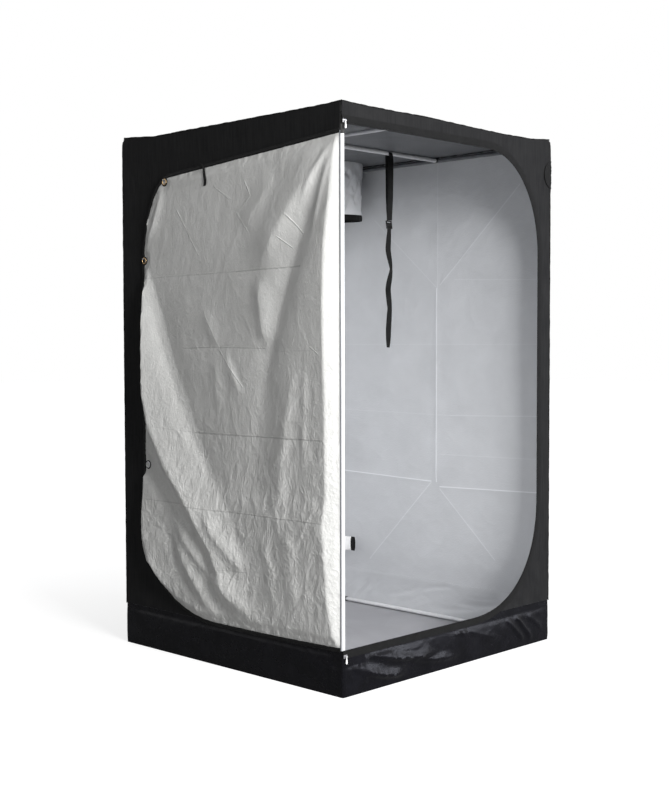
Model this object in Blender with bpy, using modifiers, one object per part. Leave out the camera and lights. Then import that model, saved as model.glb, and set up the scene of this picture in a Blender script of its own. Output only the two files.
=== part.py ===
"""An indoor grow tent: a frame of steel tubes in black plastic corners, inside a zipped fabric cover.

The door stands open: it is swung round the near left corner and hooked back along the left side.
Lengths are in metres and +Z is up. The origin is on the floor under the middle of the tent,
X runs from left to right as seen from the front, and Y runs from the front to the back.
"""

import math

import bmesh
import bpy
from mathutils import Matrix, Vector

# Whole tent
tent_width = 1.2
tent_depth = 1.2
tent_height = 2.0
fit_gap = 0.0003
cut_overrun = 0.004
weld_distance = 0.000005
sharp_angle = 35

# Cover
cover_thickness = 0.0015
band_height = 0.160
roof_dip = 0.0145
roof_corner_flat = 0.037
roof_corner_steps = (0.075, 0.130, 0.340)
roof_corner_rise_shares = (0.45, 0.10, 0.0)

# Frame tubes and their corner sockets
tube_radius = 0.008
tube_wall = 0.001
tube_sides = 12
socket_wall = 0.0027
socket_reach = 0.080
socket_floor = 0.014
corner_arm_step = 0.0003
corner_bevel = 0.002
post_split_height = 1.0
spigot_length = 0.060

# Bars under the roof
bar_across_y = -0.030
bar_lengthwise_x = -0.270
bar_spacing = 0.0005
hook_wall = 0.0024
hook_clearance = 0.0005
hook_width = 0.016
hook_plate = 0.0035
hook_spigot_reach = 0.016
hook_wrap_start = -20
hook_wrap_end = 200
hook_wrap_steps = 12
rail_button_y = -0.126
rail_button_radius = 0.0035
rail_button_height = 0.0020

# Doorway in the front
doorway_top_margin = 0.072
doorway_side_margin = 0.083
doorway_sill_overlap = 0.002
doorway_post_setback = 0.011
doorway_upper_round = (0.337, 0.396)
doorway_upper_power = 2.1
doorway_lower_round = (0.420, 0.440)
doorway_lower_power = 2.3
doorway_round_steps = 8
zip_tape_width = 0.024
zip_tape_thickness = 0.0015

# Door, as it lies folded back
door_pivot_standoff = 0.004
door_clearance = 0.0005
door_start = 0.014
door_side_clearance = 0.043
door_top_clearance = 0.022
door_top_slope = 0.067
door_bottom_slope = 0.009
door_bottom_dip = 0.003
door_upper_round = (0.174, 0.384)
door_lower_round = (0.424, 0.321)
door_hem_width = 0.012
door_hem_thickness = 0.004
door_cloth_thickness = 0.0015
door_straight_steps = 13
door_round_steps = 6
door_rows = 25
door_fold_depth = 0.024
door_fold_margin = 0.060
# Each fold: start across and up, end across and up, width, depth.
door_fold_shares = (
    (0.99, 0.78, 0.50, 0.42, 0.085, 0.90),
    (0.02, 0.99, 0.36, 0.62, 0.070, 0.75),
    (0.36, 0.62, 0.42, 0.38, 0.070, 0.60),
    (0.01, 0.93, 0.17, 0.49, 0.055, 0.45),
    (0.97, 0.31, 0.47, 0.08, 0.075, 0.80),
    (0.74, 0.24, 0.40, 0.02, 0.055, 0.55),
    (0.90, 0.92, 0.51, 0.69, 0.070, 0.55),
    (0.84, 0.69, 0.88, 0.40, 0.050, 0.40),
    (0.22, 0.30, 0.12, 0.02, 0.060, 0.50),
)

# Eyelet rings in the door's hem and the pegs that hold them
ring_radius = 0.011
ring_wire_radius = 0.0014
ring_wire_sides = 8
ring_sides = 18
ring_standoff = 0.0042
ring_seat_clearance = 0.0005
ring_patch_radius = 0.018
ring_patch_step = 0.0004
ring_patch_sides = 24
ring_upper_inset = 0.141
ring_upper_drop = 0.116
ring_middle_inset = 0.013
ring_middle_drop = 0.410
ring_lower_inset = 0.026
ring_lower_rise = 0.566
peg_radius = 0.0022
peg_height = 0.0110
peg_disc_radius = 0.0050
peg_disc_height = 0.0015
peg_sides = 12

# Tie strap on the door's top hem
tie_strap_inset = 0.385
tie_strap_width = 0.020
tie_strap_thickness = 0.0015
tie_strap_drop = 0.053
tie_strap_length = 0.078
tie_strap_swing = 0.010

# Zip sliders and their pulls
slider_width = 0.016
slider_height = 0.012
slider_thickness = 0.004
slider_bevel = 0.001
slider_inset_x = 0.008
slider_top_rise = 0.004
slider_bottom_drop = 0.0165
bridge_radius = 0.001
bridge_standoff = 0.0035
bridge_half_length = 0.0038
bridge_post = 0.001
eye_bore_radius = 0.0013
eye_radius = 0.0023
eye_length = 0.005
pull_length = 0.025
pull_width = 0.009
pull_thickness = 0.0016
pull_neck_width = 0.003

# Hanger strap over the bar that runs across
strap_inset = 0.324
strap_width = 0.025
strap_thickness = 0.0016
strap_loop_drop = 0.2727
strap_neck_length = 0.040
strap_tail_length = 0.484
strap_tail_waves_shares = (0.0, 0.55, -0.75, 0.30, -0.10, 0.55, 0.10)
strap_tail_swing = 0.016
strap_arc_steps = 10
buckle_width = 0.032
buckle_height = 0.034
buckle_depth = 0.013
buckle_slot_clearance = 0.0008
buckle_bevel = 0.002

# Sleeve for a duct, hanging from a hole in the roof
sleeve_inset = 0.180
sleeve_hole_radius = 0.120
sleeve_top_half_width = 0.125
sleeve_hem_half_width = 0.121
sleeve_hem_half_depth = 0.070
sleeve_drop = 0.224
sleeve_hem_height = 0.025
sleeve_thickness = 0.0015
sleeve_hem_thickness = 0.003
sleeve_sides = 28
sleeve_rings = 6
sleeve_turn = -45

# Small sleeve low on the back wall
port_inset = 0.140
port_z = 0.272
port_radius = 0.040
port_length = 0.200
port_hem_length = 0.018
port_sides = 20

# Worked out from the sizes above
half_width = tent_width / 2
half_depth = tent_depth / 2
roof_top = tent_height - roof_dip
roof_under = roof_top - cover_thickness
socket_radius = tube_radius + fit_gap + socket_wall
frame_x = half_width - cover_thickness - fit_gap - socket_radius
frame_y = half_depth - cover_thickness - fit_gap - socket_radius
low_rail_z = cover_thickness + fit_gap + socket_radius
high_rail_z = roof_under - fit_gap - socket_radius
post_cap_z = tent_height - cover_thickness - fit_gap
tube_start = socket_floor + fit_gap
bar_lengthwise_z = high_rail_z - tube_radius - tube_radius - bar_spacing
hook_inner = tube_radius + hook_clearance
hook_outer = hook_inner + hook_wall
tape_face_y = -half_depth - fit_gap - zip_tape_thickness
doorway_top = tent_height - doorway_top_margin
doorway_bottom = band_height - doorway_sill_overlap
doorway_right = half_width - doorway_side_margin
door_pivot_x = -half_width - door_pivot_standoff
door_pivot_y = -half_depth - door_pivot_standoff
door_inner_x = -half_width - door_clearance
door_hem_outer_x = door_inner_x - door_hem_thickness
door_y0 = door_pivot_y + door_start
door_y1 = door_pivot_y + doorway_right - door_side_clearance - door_pivot_x
door_top_at_pivot = doorway_top - door_top_clearance
door_top_at_round = door_top_at_pivot - door_top_slope
door_bottom_at_pivot = doorway_bottom
door_bottom = door_bottom_at_pivot - door_bottom_slope
ring_places = {
    "upper": (door_y1 - ring_upper_inset, doorway_top - ring_upper_drop),
    "middle": (door_y1 - ring_middle_inset, doorway_top - ring_middle_drop),
    "lower": (door_y1 - ring_lower_inset, doorway_bottom + ring_lower_rise),
}
slider_x = -half_width + slider_inset_x
slider_top_z = doorway_top + slider_top_rise
slider_bottom_z = doorway_bottom - slider_bottom_drop
strap_x = half_width - strap_inset
strap_loop_bottom = high_rail_z - strap_loop_drop
strap_neck_bottom = strap_loop_bottom - strap_neck_length
strap_tail_bottom = strap_neck_bottom - strap_tail_length
sleeve_x = half_width - sleeve_inset
sleeve_y = half_depth - sleeve_inset
sleeve_bottom = roof_under - sleeve_drop
port_x = half_width - port_inset


def clear_scene():
    for obj in list(bpy.data.objects):
        bpy.data.objects.remove(obj, do_unlink=True)


def new_collection(name):
    collection = bpy.data.collections.new(name)
    bpy.context.scene.collection.children.link(collection)
    return collection


clear_scene()
tent = new_collection("indoor_grow_tent")
cutters = new_collection("cutters")


def new_material(name, colour, roughness, metallic=0.0):
    material = bpy.data.materials.new(name)
    material.use_nodes = True
    shader = material.node_tree.nodes["Principled BSDF"]
    shader.inputs["Base Color"].default_value = (*colour, 1.0)
    shader.inputs["Roughness"].default_value = roughness
    shader.inputs["Metallic"].default_value = metallic
    return material


white_steel = new_material("white_coated_steel", (0.80, 0.81, 0.82), 0.35, 0.2)
black_plastic = new_material("black_plastic", (0.03, 0.03, 0.03), 0.5)
cover_fabric = new_material("black_cover_fabric", (0.03, 0.03, 0.03), 0.8)
band_fabric = new_material("glossy_band_fabric", (0.02, 0.02, 0.025), 0.35)
silver_lining = new_material("silver_door_lining", (0.66, 0.66, 0.65), 0.4, 0.3)
grey_lining = new_material("grey_floor_lining", (0.45, 0.46, 0.48), 0.7)
black_webbing = new_material("black_webbing", (0.02, 0.02, 0.02), 0.85)
brass = new_material("brass", (0.62, 0.42, 0.22), 0.3, 1.0)
steel = new_material("steel", (0.62, 0.62, 0.64), 0.3, 1.0)
white_pull = new_material("white_pull", (0.88, 0.88, 0.87), 0.4)

# Turns a shape made along +Z so that it lies along the named axis
along = {
    "X": Matrix.Rotation(math.radians(90), 4, "Y"),
    "Y": Matrix.Rotation(math.radians(-90), 4, "X"),
    "Z": Matrix.Identity(4),
}
# Stands a shape drawn in the XY plane up: in the plane of the front, or of a side
stand_front = Matrix.Rotation(math.radians(90), 4, "X")
stand_side = Matrix(((0, 0, 1, 0), (1, 0, 0, 0), (0, 1, 0, 0), (0, 0, 0, 1)))


def add_part(name, data, material, matrix=None):
    """A new object of the tent, with its place baked into its data."""
    if matrix is not None:
        data.transform(matrix)
    obj = bpy.data.objects.new(name, data)
    obj.data.materials.append(material)
    tent.objects.link(obj)
    return obj


def make_cutter(obj):
    for collection in list(obj.users_collection):
        collection.objects.unlink(obj)
    cutters.objects.link(obj)
    obj.hide_render = True
    obj.display_type = "WIRE"
    return obj


def boolean(obj, other, operation):
    modifier = obj.modifiers.new(operation.lower(), "BOOLEAN")
    modifier.operation = operation
    modifier.object = make_cutter(other)
    return obj


def set_origin(obj, point):
    """Moves the object's origin to a point without moving its shape."""
    obj.data.transform(Matrix.Translation(-Vector(point)))
    obj.location = point


def evaluated_mesh(obj, name):
    """The object's shape with its modifiers applied, its loose caps welded."""
    graph = bpy.context.evaluated_depsgraph_get()
    mesh = bpy.data.meshes.new_from_object(obj.evaluated_get(graph))
    mesh.name = name
    shape = bmesh.new()
    shape.from_mesh(mesh)
    bmesh.ops.remove_doubles(shape, verts=shape.verts, dist=weld_distance)
    shape.to_mesh(mesh)
    shape.free()
    return mesh


def as_mesh(obj):
    """Replaces a curve, or an object with modifiers, by a plain mesh object of the same name."""
    name = obj.name
    material = obj.data.materials[0]
    mesh = evaluated_mesh(obj, name)
    mesh.transform(obj.matrix_world)
    bpy.data.objects.remove(obj, do_unlink=True)
    mesh.materials.clear()
    return add_part(name, mesh, material)


def cylinder(name, material, radius, start, end, axis, sides=tube_sides):
    """A solid cylinder between two points on a line along an axis."""
    start = Vector(start)
    end = Vector(end)
    shape = bmesh.new()
    bmesh.ops.create_cone(
        shape, cap_ends=True, segments=sides, radius1=radius, radius2=radius, depth=(end - start).length
    )
    mesh = bpy.data.meshes.new(name)
    shape.to_mesh(mesh)
    shape.free()
    return add_part(name, mesh, material, Matrix.Translation((start + end) / 2) @ along[axis])


def box(name, material, low, high):
    low = Vector(low)
    high = Vector(high)
    shape = bmesh.new()
    bmesh.ops.create_cube(shape, size=1)
    bmesh.ops.scale(shape, vec=high - low, verts=shape.verts)
    bmesh.ops.translate(shape, vec=(low + high) / 2, verts=shape.verts)
    mesh = bpy.data.meshes.new(name)
    shape.to_mesh(mesh)
    shape.free()
    return add_part(name, mesh, material)


def turned(name, material, profile, matrix, closed=True, sides=tube_sides):
    """A profile of (radius, height) points, running down its outer side, spun about Z."""
    mesh = bpy.data.meshes.new(name)
    edges = [(i, i + 1) for i in range(len(profile) - 1)]
    if closed:
        edges.append((len(profile) - 1, 0))
    mesh.from_pydata([(r, 0, z) for r, z in profile], edges, [])
    obj = add_part(name, mesh, material)
    screw = obj.modifiers.new("screw", "SCREW")
    screw.steps = screw.render_steps = sides
    screw.use_merge_vertices = True
    screw.merge_threshold = weld_distance
    obj.matrix_world = matrix
    return obj


def flat_outline(name, material, outlines, depth, matrix):
    """A plate from closed outlines, the first its edge and the rest its holes, centred on its own plane."""
    curve = bpy.data.curves.new(name, "CURVE")
    curve.dimensions = "2D"
    curve.fill_mode = "BOTH"
    curve.extrude = depth / 2
    for outline in outlines:
        spline = curve.splines.new("POLY")
        spline.points.add(len(outline) - 1)
        for point, (u, v) in zip(spline.points, outline):
            point.co = (u, v, 0, 1)
        spline.use_cyclic_u = True
    obj = add_part(name, curve, material)
    obj.matrix_world = matrix
    return obj


def cloth(name, material, columns, rows, place, thickness):
    """A grid laid out by place(column, row), thickened towards the side that its faces turn away from."""
    shape = bmesh.new()
    bmesh.ops.create_grid(shape, x_segments=columns - 1, y_segments=rows - 1, size=1)
    for vert in shape.verts:
        column = round((vert.co.x + 1) / 2 * (columns - 1))
        row = round((vert.co.y + 1) / 2 * (rows - 1))
        vert.co = place(column, row)
    mesh = bpy.data.meshes.new(name)
    shape.to_mesh(mesh)
    shape.free()
    obj = add_part(name, mesh, material)
    solidify = obj.modifiers.new("thickness", "SOLIDIFY")
    solidify.thickness = thickness
    return obj


def loft(name, material, rings, thickness):
    """A sleeve through rings of points, from its bottom to its top, thickened inwards."""
    sides = len(rings[0])
    faces = []
    for i in range(len(rings) - 1):
        for j in range(sides):
            k = (j + 1) % sides
            faces.append((i * sides + j, i * sides + k, (i + 1) * sides + k, (i + 1) * sides + j))
    mesh = bpy.data.meshes.new(name)
    mesh.from_pydata([point for ring in rings for point in ring], [], faces)
    obj = add_part(name, mesh, material)
    solidify = obj.modifiers.new("thickness", "SOLIDIFY")
    solidify.thickness = thickness
    return obj


def circle(radius, sides, centre=(0, 0)):
    turn = math.tau / sides
    return [
        (centre[0] + radius * math.cos(i * turn), centre[1] + radius * math.sin(i * turn)) for i in range(sides)
    ]


def rounded_corner(centre, reach, power, start, end, steps):
    """Points round a quarter of a superellipse, from a start angle to an end angle in degrees."""
    points = []
    for i in range(steps + 1):
        angle = math.radians(start + (end - start) * i / steps)
        across = math.copysign(abs(math.cos(angle)) ** (2 / power), math.cos(angle))
        up = math.copysign(abs(math.sin(angle)) ** (2 / power), math.sin(angle))
        points.append((centre[0] + reach[0] * across, centre[1] + reach[1] * up))
    return points


# Frame: corners, posts and rails
def corner_mesh(name, vertical_start, vertical_end):
    """A three-way corner for the right back of the tent, its arms along -X, -Y and up or down."""
    block = box(f"{name}_block", black_plastic, (-socket_radius,) * 3, (socket_radius,) * 3)
    bevel = block.modifiers.new("bevel", "BEVEL")
    bevel.width = corner_bevel
    bevel.segments = 2
    corner = as_mesh(block)
    pieces = (
        ("X", (-socket_reach, 0, 0), (0, 0, 0)),
        ("Y", (0, -socket_reach, 0), (0, 0, 0)),
        ("Z", (0, 0, vertical_start), (0, 0, vertical_end)),
    )
    arm_radius = socket_radius - corner_arm_step
    for axis, start, end in pieces:
        boolean(corner, cylinder(f"{name}_arm", black_plastic, arm_radius, start, end, axis), "UNION")
    bore = tube_radius + fit_gap
    reach = socket_reach + cut_overrun
    vertical = 1 if vertical_end > -vertical_start else -1
    holes = (
        ("X", (-reach, 0, 0), (-socket_floor, 0, 0)),
        ("Y", (0, -reach, 0), (0, -socket_floor, 0)),
        ("Z", (0, 0, min(vertical * reach, vertical * socket_floor)), (0, 0, max(vertical * reach, vertical * socket_floor))),
    )
    for axis, start, end in holes:
        boolean(corner, cylinder(f"{name}_bore", black_plastic, bore, start, end, axis), "DIFFERENCE")
    mesh = evaluated_mesh(corner, name)
    for obj in [corner] + [modifier.object for modifier in corner.modifiers]:
        bpy.data.objects.remove(obj, do_unlink=True)
    return mesh


def make_corners():
    low = corner_mesh("corner_low", 0, socket_reach)
    high = corner_mesh("corner_high", -socket_reach, post_cap_z - high_rail_z)
    for level, mesh, z in (("bottom", low, low_rail_z), ("top", high, high_rail_z)):
        for place, x_side, y_side in (
            ("front_left", -1, -1),
            ("front_right", 1, -1),
            ("back_left", -1, 1),
            ("back_right", 1, 1),
        ):
            corner = bpy.data.objects.new(f"corner_{level}_{place}", mesh)
            corner.location = (x_side * frame_x, y_side * frame_y, z)
            corner.scale = (x_side, y_side, 1)
            tent.objects.link(corner)


def tube(name, start, end, axis, spigot=0.0):
    """A hollow tube between two points, with a narrower spigot beyond its far end if it has one."""
    start = Vector(start)
    length = (Vector(end) - start).length
    bore = tube_radius - tube_wall
    profile = [(tube_radius, length), (tube_radius, 0), (bore, 0), (bore, length)]
    if spigot:
        plug = bore - fit_gap
        inner = plug - tube_wall
        tip = length + spigot
        profile = [(plug, tip), (plug, length), (tube_radius, length), (tube_radius, 0), (inner, 0), (inner, tip)]
    return turned(name, white_steel, profile, Matrix.Translation(start) @ along[axis])


def make_posts():
    bottom = low_rail_z + tube_start
    top = high_rail_z - tube_start
    for place, x_side, y_side in (
        ("front_left", -1, -1),
        ("front_right", 1, -1),
        ("back_left", -1, 1),
        ("back_right", 1, 1),
    ):
        x = x_side * frame_x
        y = y_side * frame_y
        tube(f"post_lower_{place}", (x, y, bottom), (x, y, post_split_height), "Z", spigot_length)
        tube(f"post_upper_{place}", (x, y, post_split_height + fit_gap), (x, y, top), "Z")


def make_rails():
    half_x = frame_x - tube_start
    half_y = frame_y - tube_start
    for level, z in (("bottom", low_rail_z), ("top", high_rail_z)):
        for place, y in (("front", -frame_y), ("back", frame_y)):
            tube(f"rail_{level}_{place}", (-half_x, y, z), (half_x, y, z), "X")
        for place, x in (("left", -frame_x), ("right", frame_x)):
            tube(f"rail_{level}_{place}", (x, -half_y, z), (x, half_y, z), "Y")


def make_rail_button():
    profile = [
        (0, rail_button_height),
        (rail_button_radius / 2, rail_button_height),
        (rail_button_radius, rail_button_height / 2),
        (rail_button_radius, 0),
        (0, 0),
    ]
    face = Vector((frame_x - tube_radius - fit_gap, rail_button_y, low_rail_z))
    towards_inside = Matrix.Rotation(math.radians(-90), 4, "Y")
    turned("rail_snap_button", steel, profile, Matrix.Translation(face) @ towards_inside, closed=False)


# Bars under the roof, hooked over the top rails
def bar_hook(name, rail_point, turn, drop, bar_origin):
    """A hook over a rail, made with the bar towards local +X and turned into place about Z."""
    steps = range(hook_wrap_steps + 1)
    angles = [hook_wrap_start + (hook_wrap_end - hook_wrap_start) * i / hook_wrap_steps for i in steps]
    arc = [(math.cos(math.radians(a)), math.sin(math.radians(a))) for a in angles]
    outline = [(hook_outer * c, hook_outer * s) for c, s in arc]
    outline += [(hook_inner * c, hook_inner * s) for c, s in reversed(arc)]
    hook = as_mesh(flat_outline(name, black_plastic, [outline], hook_width, stand_front))
    plug = tube_radius - tube_wall - fit_gap
    plate_start = hook_inner + fit_gap
    plate_end = hook_outer + hook_plate
    plate = box(
        f"{name}_plate",
        black_plastic,
        (plate_start, -tube_radius, -drop - tube_radius),
        (plate_end, tube_radius, plug),
    )
    spigot = cylinder(
        f"{name}_spigot",
        black_plastic,
        plug,
        (plate_start + fit_gap, 0, -drop),
        (plate_end + hook_spigot_reach, 0, -drop),
        "X",
    )
    boolean(hook, plate, "UNION")
    boolean(hook, spigot, "UNION")
    hook = as_mesh(hook)
    for obj in (plate, spigot):
        bpy.data.objects.remove(obj, do_unlink=True)
    hook.data.transform(Matrix.Translation(rail_point) @ Matrix.Rotation(math.radians(turn), 4, "Z"))
    set_origin(hook, bar_origin)


def make_bars():
    gap = hook_outer + hook_plate + fit_gap
    across = Vector((0, bar_across_y, high_rail_z))
    half = frame_x - gap
    bar = tube("crossbar_across", (-half, bar_across_y, high_rail_z), (half, bar_across_y, high_rail_z), "X")
    bar = as_mesh(bar)
    set_origin(bar, across)
    for place, x, turn in (("left", -frame_x, 0), ("right", frame_x, 180)):
        bar_hook(f"crossbar_hook_{place}", Vector((x, bar_across_y, high_rail_z)), turn, 0, across)
    lengthwise = Vector((bar_lengthwise_x, 0, bar_lengthwise_z))
    half = frame_y - gap
    start = (bar_lengthwise_x, -half, bar_lengthwise_z)
    end = (bar_lengthwise_x, half, bar_lengthwise_z)
    bar = as_mesh(tube("crossbar_lengthwise", start, end, "Y"))
    set_origin(bar, lengthwise)
    drop = high_rail_z - bar_lengthwise_z
    for place, y, turn in (("front", -frame_y, 90), ("back", frame_y, -90)):
        bar_hook(f"crossbar_hook_{place}", Vector((bar_lengthwise_x, y, high_rail_z)), turn, drop, lengthwise)


# Cover: roof, floor, walls and base band
def corner_rise_steps():
    """How far the cover stands above the roof's middle, at distances in from a corner."""
    yield 0, roof_dip
    yield roof_corner_flat, roof_dip
    for distance, share in zip(roof_corner_steps, roof_corner_rise_shares):
        yield distance, roof_dip * share


def rise_at(distance):
    steps = list(corner_rise_steps())
    for (near, high), (far, low) in zip(steps, steps[1:]):
        if distance <= far:
            return high + (low - high) * (distance - near) / (far - near)
    return 0


def edge_places(half):
    """Coordinates along an edge of the roof, close together at its corners."""
    steps = [half - distance for distance, rise in corner_rise_steps()]
    return [-step for step in steps] + [0] + list(reversed(steps))


def make_roof():
    xs = edge_places(half_width)
    ys = edge_places(half_depth)

    def place(column, row):
        x = xs[column]
        y = ys[row]
        return x, y, roof_top + rise_at(max(half_width - abs(x), half_depth - abs(y)))

    roof = cloth("roof_panel", cover_fabric, len(xs), len(ys), place, cover_thickness)
    roof.modifiers.new("triangulate", "TRIANGULATE")
    roof = as_mesh(roof)
    hole = cylinder(
        "roof_panel_hole",
        cover_fabric,
        sleeve_hole_radius,
        (sleeve_x, sleeve_y, roof_under - cut_overrun),
        (sleeve_x, sleeve_y, roof_top + cut_overrun),
        "Z",
        sleeve_sides,
    )
    boolean(roof, hole, "DIFFERENCE")


def top_edge(half, inset):
    """The top edge of a wall, from its right end to its left, following the roof."""
    points = []
    for place in reversed(edge_places(half)):
        u = max(-half + inset, min(half - inset, place))
        points.append((u, roof_under - fit_gap + rise_at(half - abs(place))))
    return points


def doorway_edge(outward):
    """The doorway's edge from the top at the post, round by the right, to the bottom at the post."""
    across, up = doorway_upper_round
    reach = (across + outward, up + outward)
    centre = (doorway_right - across, doorway_top - up)
    points = [(-half_width, doorway_top + outward)]
    points += rounded_corner(centre, reach, doorway_upper_power, 90, 0, doorway_round_steps)
    across, up = doorway_lower_round
    reach = (across + outward, up + outward)
    centre = (doorway_right - across, doorway_bottom + up)
    points += rounded_corner(centre, reach, doorway_lower_power, 0, -90, doorway_round_steps)
    points.append((-half_width, doorway_bottom - outward))
    return points


def make_front_wall():
    foot = band_height + fit_gap
    edge = [(u, z) for u, z in doorway_edge(0) if z > foot]
    outline = top_edge(half_width, 0)
    outline += edge
    outline.append((edge[-1][0] - (doorway_bottom + cut_overrun), foot))
    outline.append((half_width, foot))
    middle = -half_depth + cover_thickness / 2
    flat_outline(
        "wall_front", cover_fabric, [outline], cover_thickness, Matrix.Translation((0, middle, 0)) @ stand_front
    )


def make_other_walls():
    foot = band_height + fit_gap
    inset = cover_thickness + fit_gap
    port = circle(port_radius, port_sides, (port_x, port_z))
    back = top_edge(half_width, 0) + [(-half_width, foot), (half_width, foot)]
    middle = half_depth - cover_thickness / 2
    flat_outline(
        "wall_back", cover_fabric, [back, port], cover_thickness, Matrix.Translation((0, middle, 0)) @ stand_front
    )
    right = top_edge(half_depth, inset) + [(inset - half_depth, foot), (half_depth - inset, foot)]
    middle = half_width - cover_thickness / 2
    flat_outline("wall_right", cover_fabric, [right], cover_thickness, Matrix.Translation((middle, 0, 0)) @ stand_side)
    setback = doorway_post_setback - half_depth
    left = top_edge(half_depth, inset)
    left += [(inset - half_depth, doorway_top), (setback, doorway_top), (setback, foot), (half_depth - inset, foot)]
    flat_outline("wall_left", cover_fabric, [left], cover_thickness, Matrix.Translation((-middle, 0, 0)) @ stand_side)


def rectangle(half_u, half_v):
    return [(-half_u, -half_v), (half_u, -half_v), (half_u, half_v), (-half_u, half_v)]


def make_base():
    inner_x = half_width - cover_thickness
    inner_y = half_depth - cover_thickness
    flat_outline(
        "base_band",
        band_fabric,
        [rectangle(half_width, half_depth), rectangle(inner_x, inner_y)],
        band_height,
        Matrix.Translation((0, 0, band_height / 2)),
    )
    box(
        "floor_panel",
        grey_lining,
        (fit_gap - inner_x, fit_gap - inner_y, 0),
        (inner_x - fit_gap, inner_y - fit_gap, cover_thickness),
    )


def make_zip_tape():
    outline = doorway_edge(zip_tape_width) + list(reversed(doorway_edge(0)))
    middle = (tape_face_y - half_depth - fit_gap) / 2
    flat_outline(
        "doorway_zip_tape",
        black_webbing,
        [outline],
        zip_tape_thickness,
        Matrix.Translation((0, middle, 0)) @ stand_front,
    )


# Door
def door_edge_at(y, inset):
    """The door's lowest and highest point at a distance along the wall, drawn in by an inset."""
    across, up = door_upper_round
    centre = door_y1 - across
    if y <= centre:
        share = (y - door_y0) / (centre - door_y0)
        top = door_top_at_pivot + (door_top_at_round - door_top_at_pivot) * share - inset
    else:
        share = min(1, (y - centre) / (across - inset))
        top = door_top_at_round - up + (up - inset) * math.sqrt(1 - share * share)
    across, up = door_lower_round
    centre = door_y1 - across
    if y <= centre:
        share = (y - door_y0) / (centre - door_y0)
        dip = door_bottom_dip * math.sin(math.pi * share)
        bottom = door_bottom_at_pivot + (door_bottom - door_bottom_at_pivot) * share - dip + inset
    else:
        share = min(1, (y - centre) / (across - inset))
        bottom = door_bottom + up - (up - inset) * math.sqrt(1 - share * share)
    return bottom, top


def door_places(inset):
    """Distances along the wall, closer together where the door's far edge turns."""
    end = door_y1 - inset
    start = end - door_upper_round[0] + inset
    places = [door_y0 + (start - door_y0) * i / door_straight_steps for i in range(door_straight_steps)]
    for i in range(door_round_steps + 1):
        places.append(start + (end - start) * math.sin(math.pi / 2 * i / door_round_steps))
    return places


def make_door_hem():
    outer = door_places(0)
    inner = door_places(door_hem_width)
    outline = [(y, door_edge_at(y, 0)[1]) for y in outer]
    outline += [(y, door_edge_at(y, 0)[0]) for y in reversed(outer)]
    outline += [(y, door_edge_at(y, door_hem_width)[0]) for y in inner]
    outline += [(y, door_edge_at(y, door_hem_width)[1]) for y in reversed(inner)]
    middle = (door_inner_x + door_hem_outer_x) / 2
    hem = as_mesh(
        flat_outline(
            "door_hem",
            black_webbing,
            [outline],
            door_hem_thickness,
            Matrix.Translation((middle, 0, 0)) @ stand_side,
        )
    )
    step = ring_patch_step
    hole = ring_radius + ring_wire_radius + ring_seat_clearance
    for place in ring_places:
        boolean(hem, ring_disc(place, ring_patch_radius, door_hem_outer_x + step, door_inner_x - step), "UNION")
    for place in ring_places:
        boolean(hem, ring_disc(place, hole, door_hem_outer_x - cut_overrun, door_inner_x + cut_overrun), "DIFFERENCE")
    return hem


def ring_disc(place, radius, start_x, end_x):
    """A disc across a ring's place, between two distances out from the wall."""
    y, z = ring_places[place]
    return cylinder(f"{place}_disc", black_webbing, radius, (start_x, y, z), (end_x, y, z), "X", ring_patch_sides)


def make_ring_and_peg(place, material):
    y, z = ring_places[place]
    bpy.ops.mesh.primitive_torus_add(
        major_radius=ring_radius,
        minor_radius=ring_wire_radius,
        major_segments=ring_sides,
        minor_segments=ring_wire_sides,
    )
    torus = bpy.context.object
    mesh = torus.data
    bpy.data.objects.remove(torus, do_unlink=True)
    centre = Vector((-half_width - ring_standoff, y, z))
    ring = add_part(f"door_ring_{place}", mesh, material, Matrix.Translation(centre) @ stand_side)
    profile = [
        (0, peg_height),
        (peg_radius - fit_gap, peg_height),
        (peg_radius, peg_height - peg_radius / 2),
        (peg_radius, peg_disc_height),
        (peg_disc_radius, peg_disc_height),
        (peg_disc_radius, 0),
        (0, 0),
    ]
    lift = ring_radius - ring_wire_radius - fit_gap - peg_radius
    foot = Matrix.Translation((-half_width - fit_gap, y, z + lift))
    outwards = Matrix.Rotation(math.radians(-90), 4, "Y")
    turned(f"wall_peg_{place}", steel, profile, foot @ outwards, closed=False, sides=peg_sides)
    return ring


def fold_height(across, up):
    """How far the cloth bulges at a place given as shares of the door's width and height."""
    height = 0
    ratio = (door_top_at_pivot - door_bottom) / (door_y1 - door_y0)
    for start_u, start_v, end_u, end_v, width, depth in door_fold_shares:
        start = Vector((start_u, start_v * ratio))
        line = Vector((end_u, end_v * ratio)) - start
        place = Vector((across, up * ratio)) - start
        share = max(0, min(1, place.dot(line) / line.length_squared))
        distance = (place - line * share).length / width
        height = max(height, depth * math.exp(-distance * distance))
    return height * door_fold_depth


def make_door_panel():
    inset = door_hem_width + fit_gap
    places = door_places(inset)
    face_x = door_inner_x - door_clearance - door_cloth_thickness

    def place(column, row):
        y = places[len(places) - 1 - column]
        low, high = door_edge_at(y, inset)
        z = low + (high - low) * row / (door_rows - 1)
        margin = min(y - door_y0, z - low, high - z, door_y1 - inset - y)
        taper = min(1, margin / door_fold_margin)
        across = (y - door_y0) / (door_y1 - door_y0)
        up = (z - door_bottom) / (door_top_at_pivot - door_bottom)
        return face_x - fold_height(across, up) * taper, y, z

    panel = cloth("door_panel", silver_lining, len(places), door_rows, place, door_cloth_thickness)
    panel.modifiers.new("triangulate", "TRIANGULATE")
    panel = as_mesh(panel)
    cut = ring_patch_radius + fit_gap
    deepest = face_x - door_fold_depth - cut_overrun
    for ring in ring_places:
        boolean(panel, ring_disc(ring, cut, deepest, door_inner_x + cut_overrun), "DIFFERENCE")
    return panel


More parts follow.
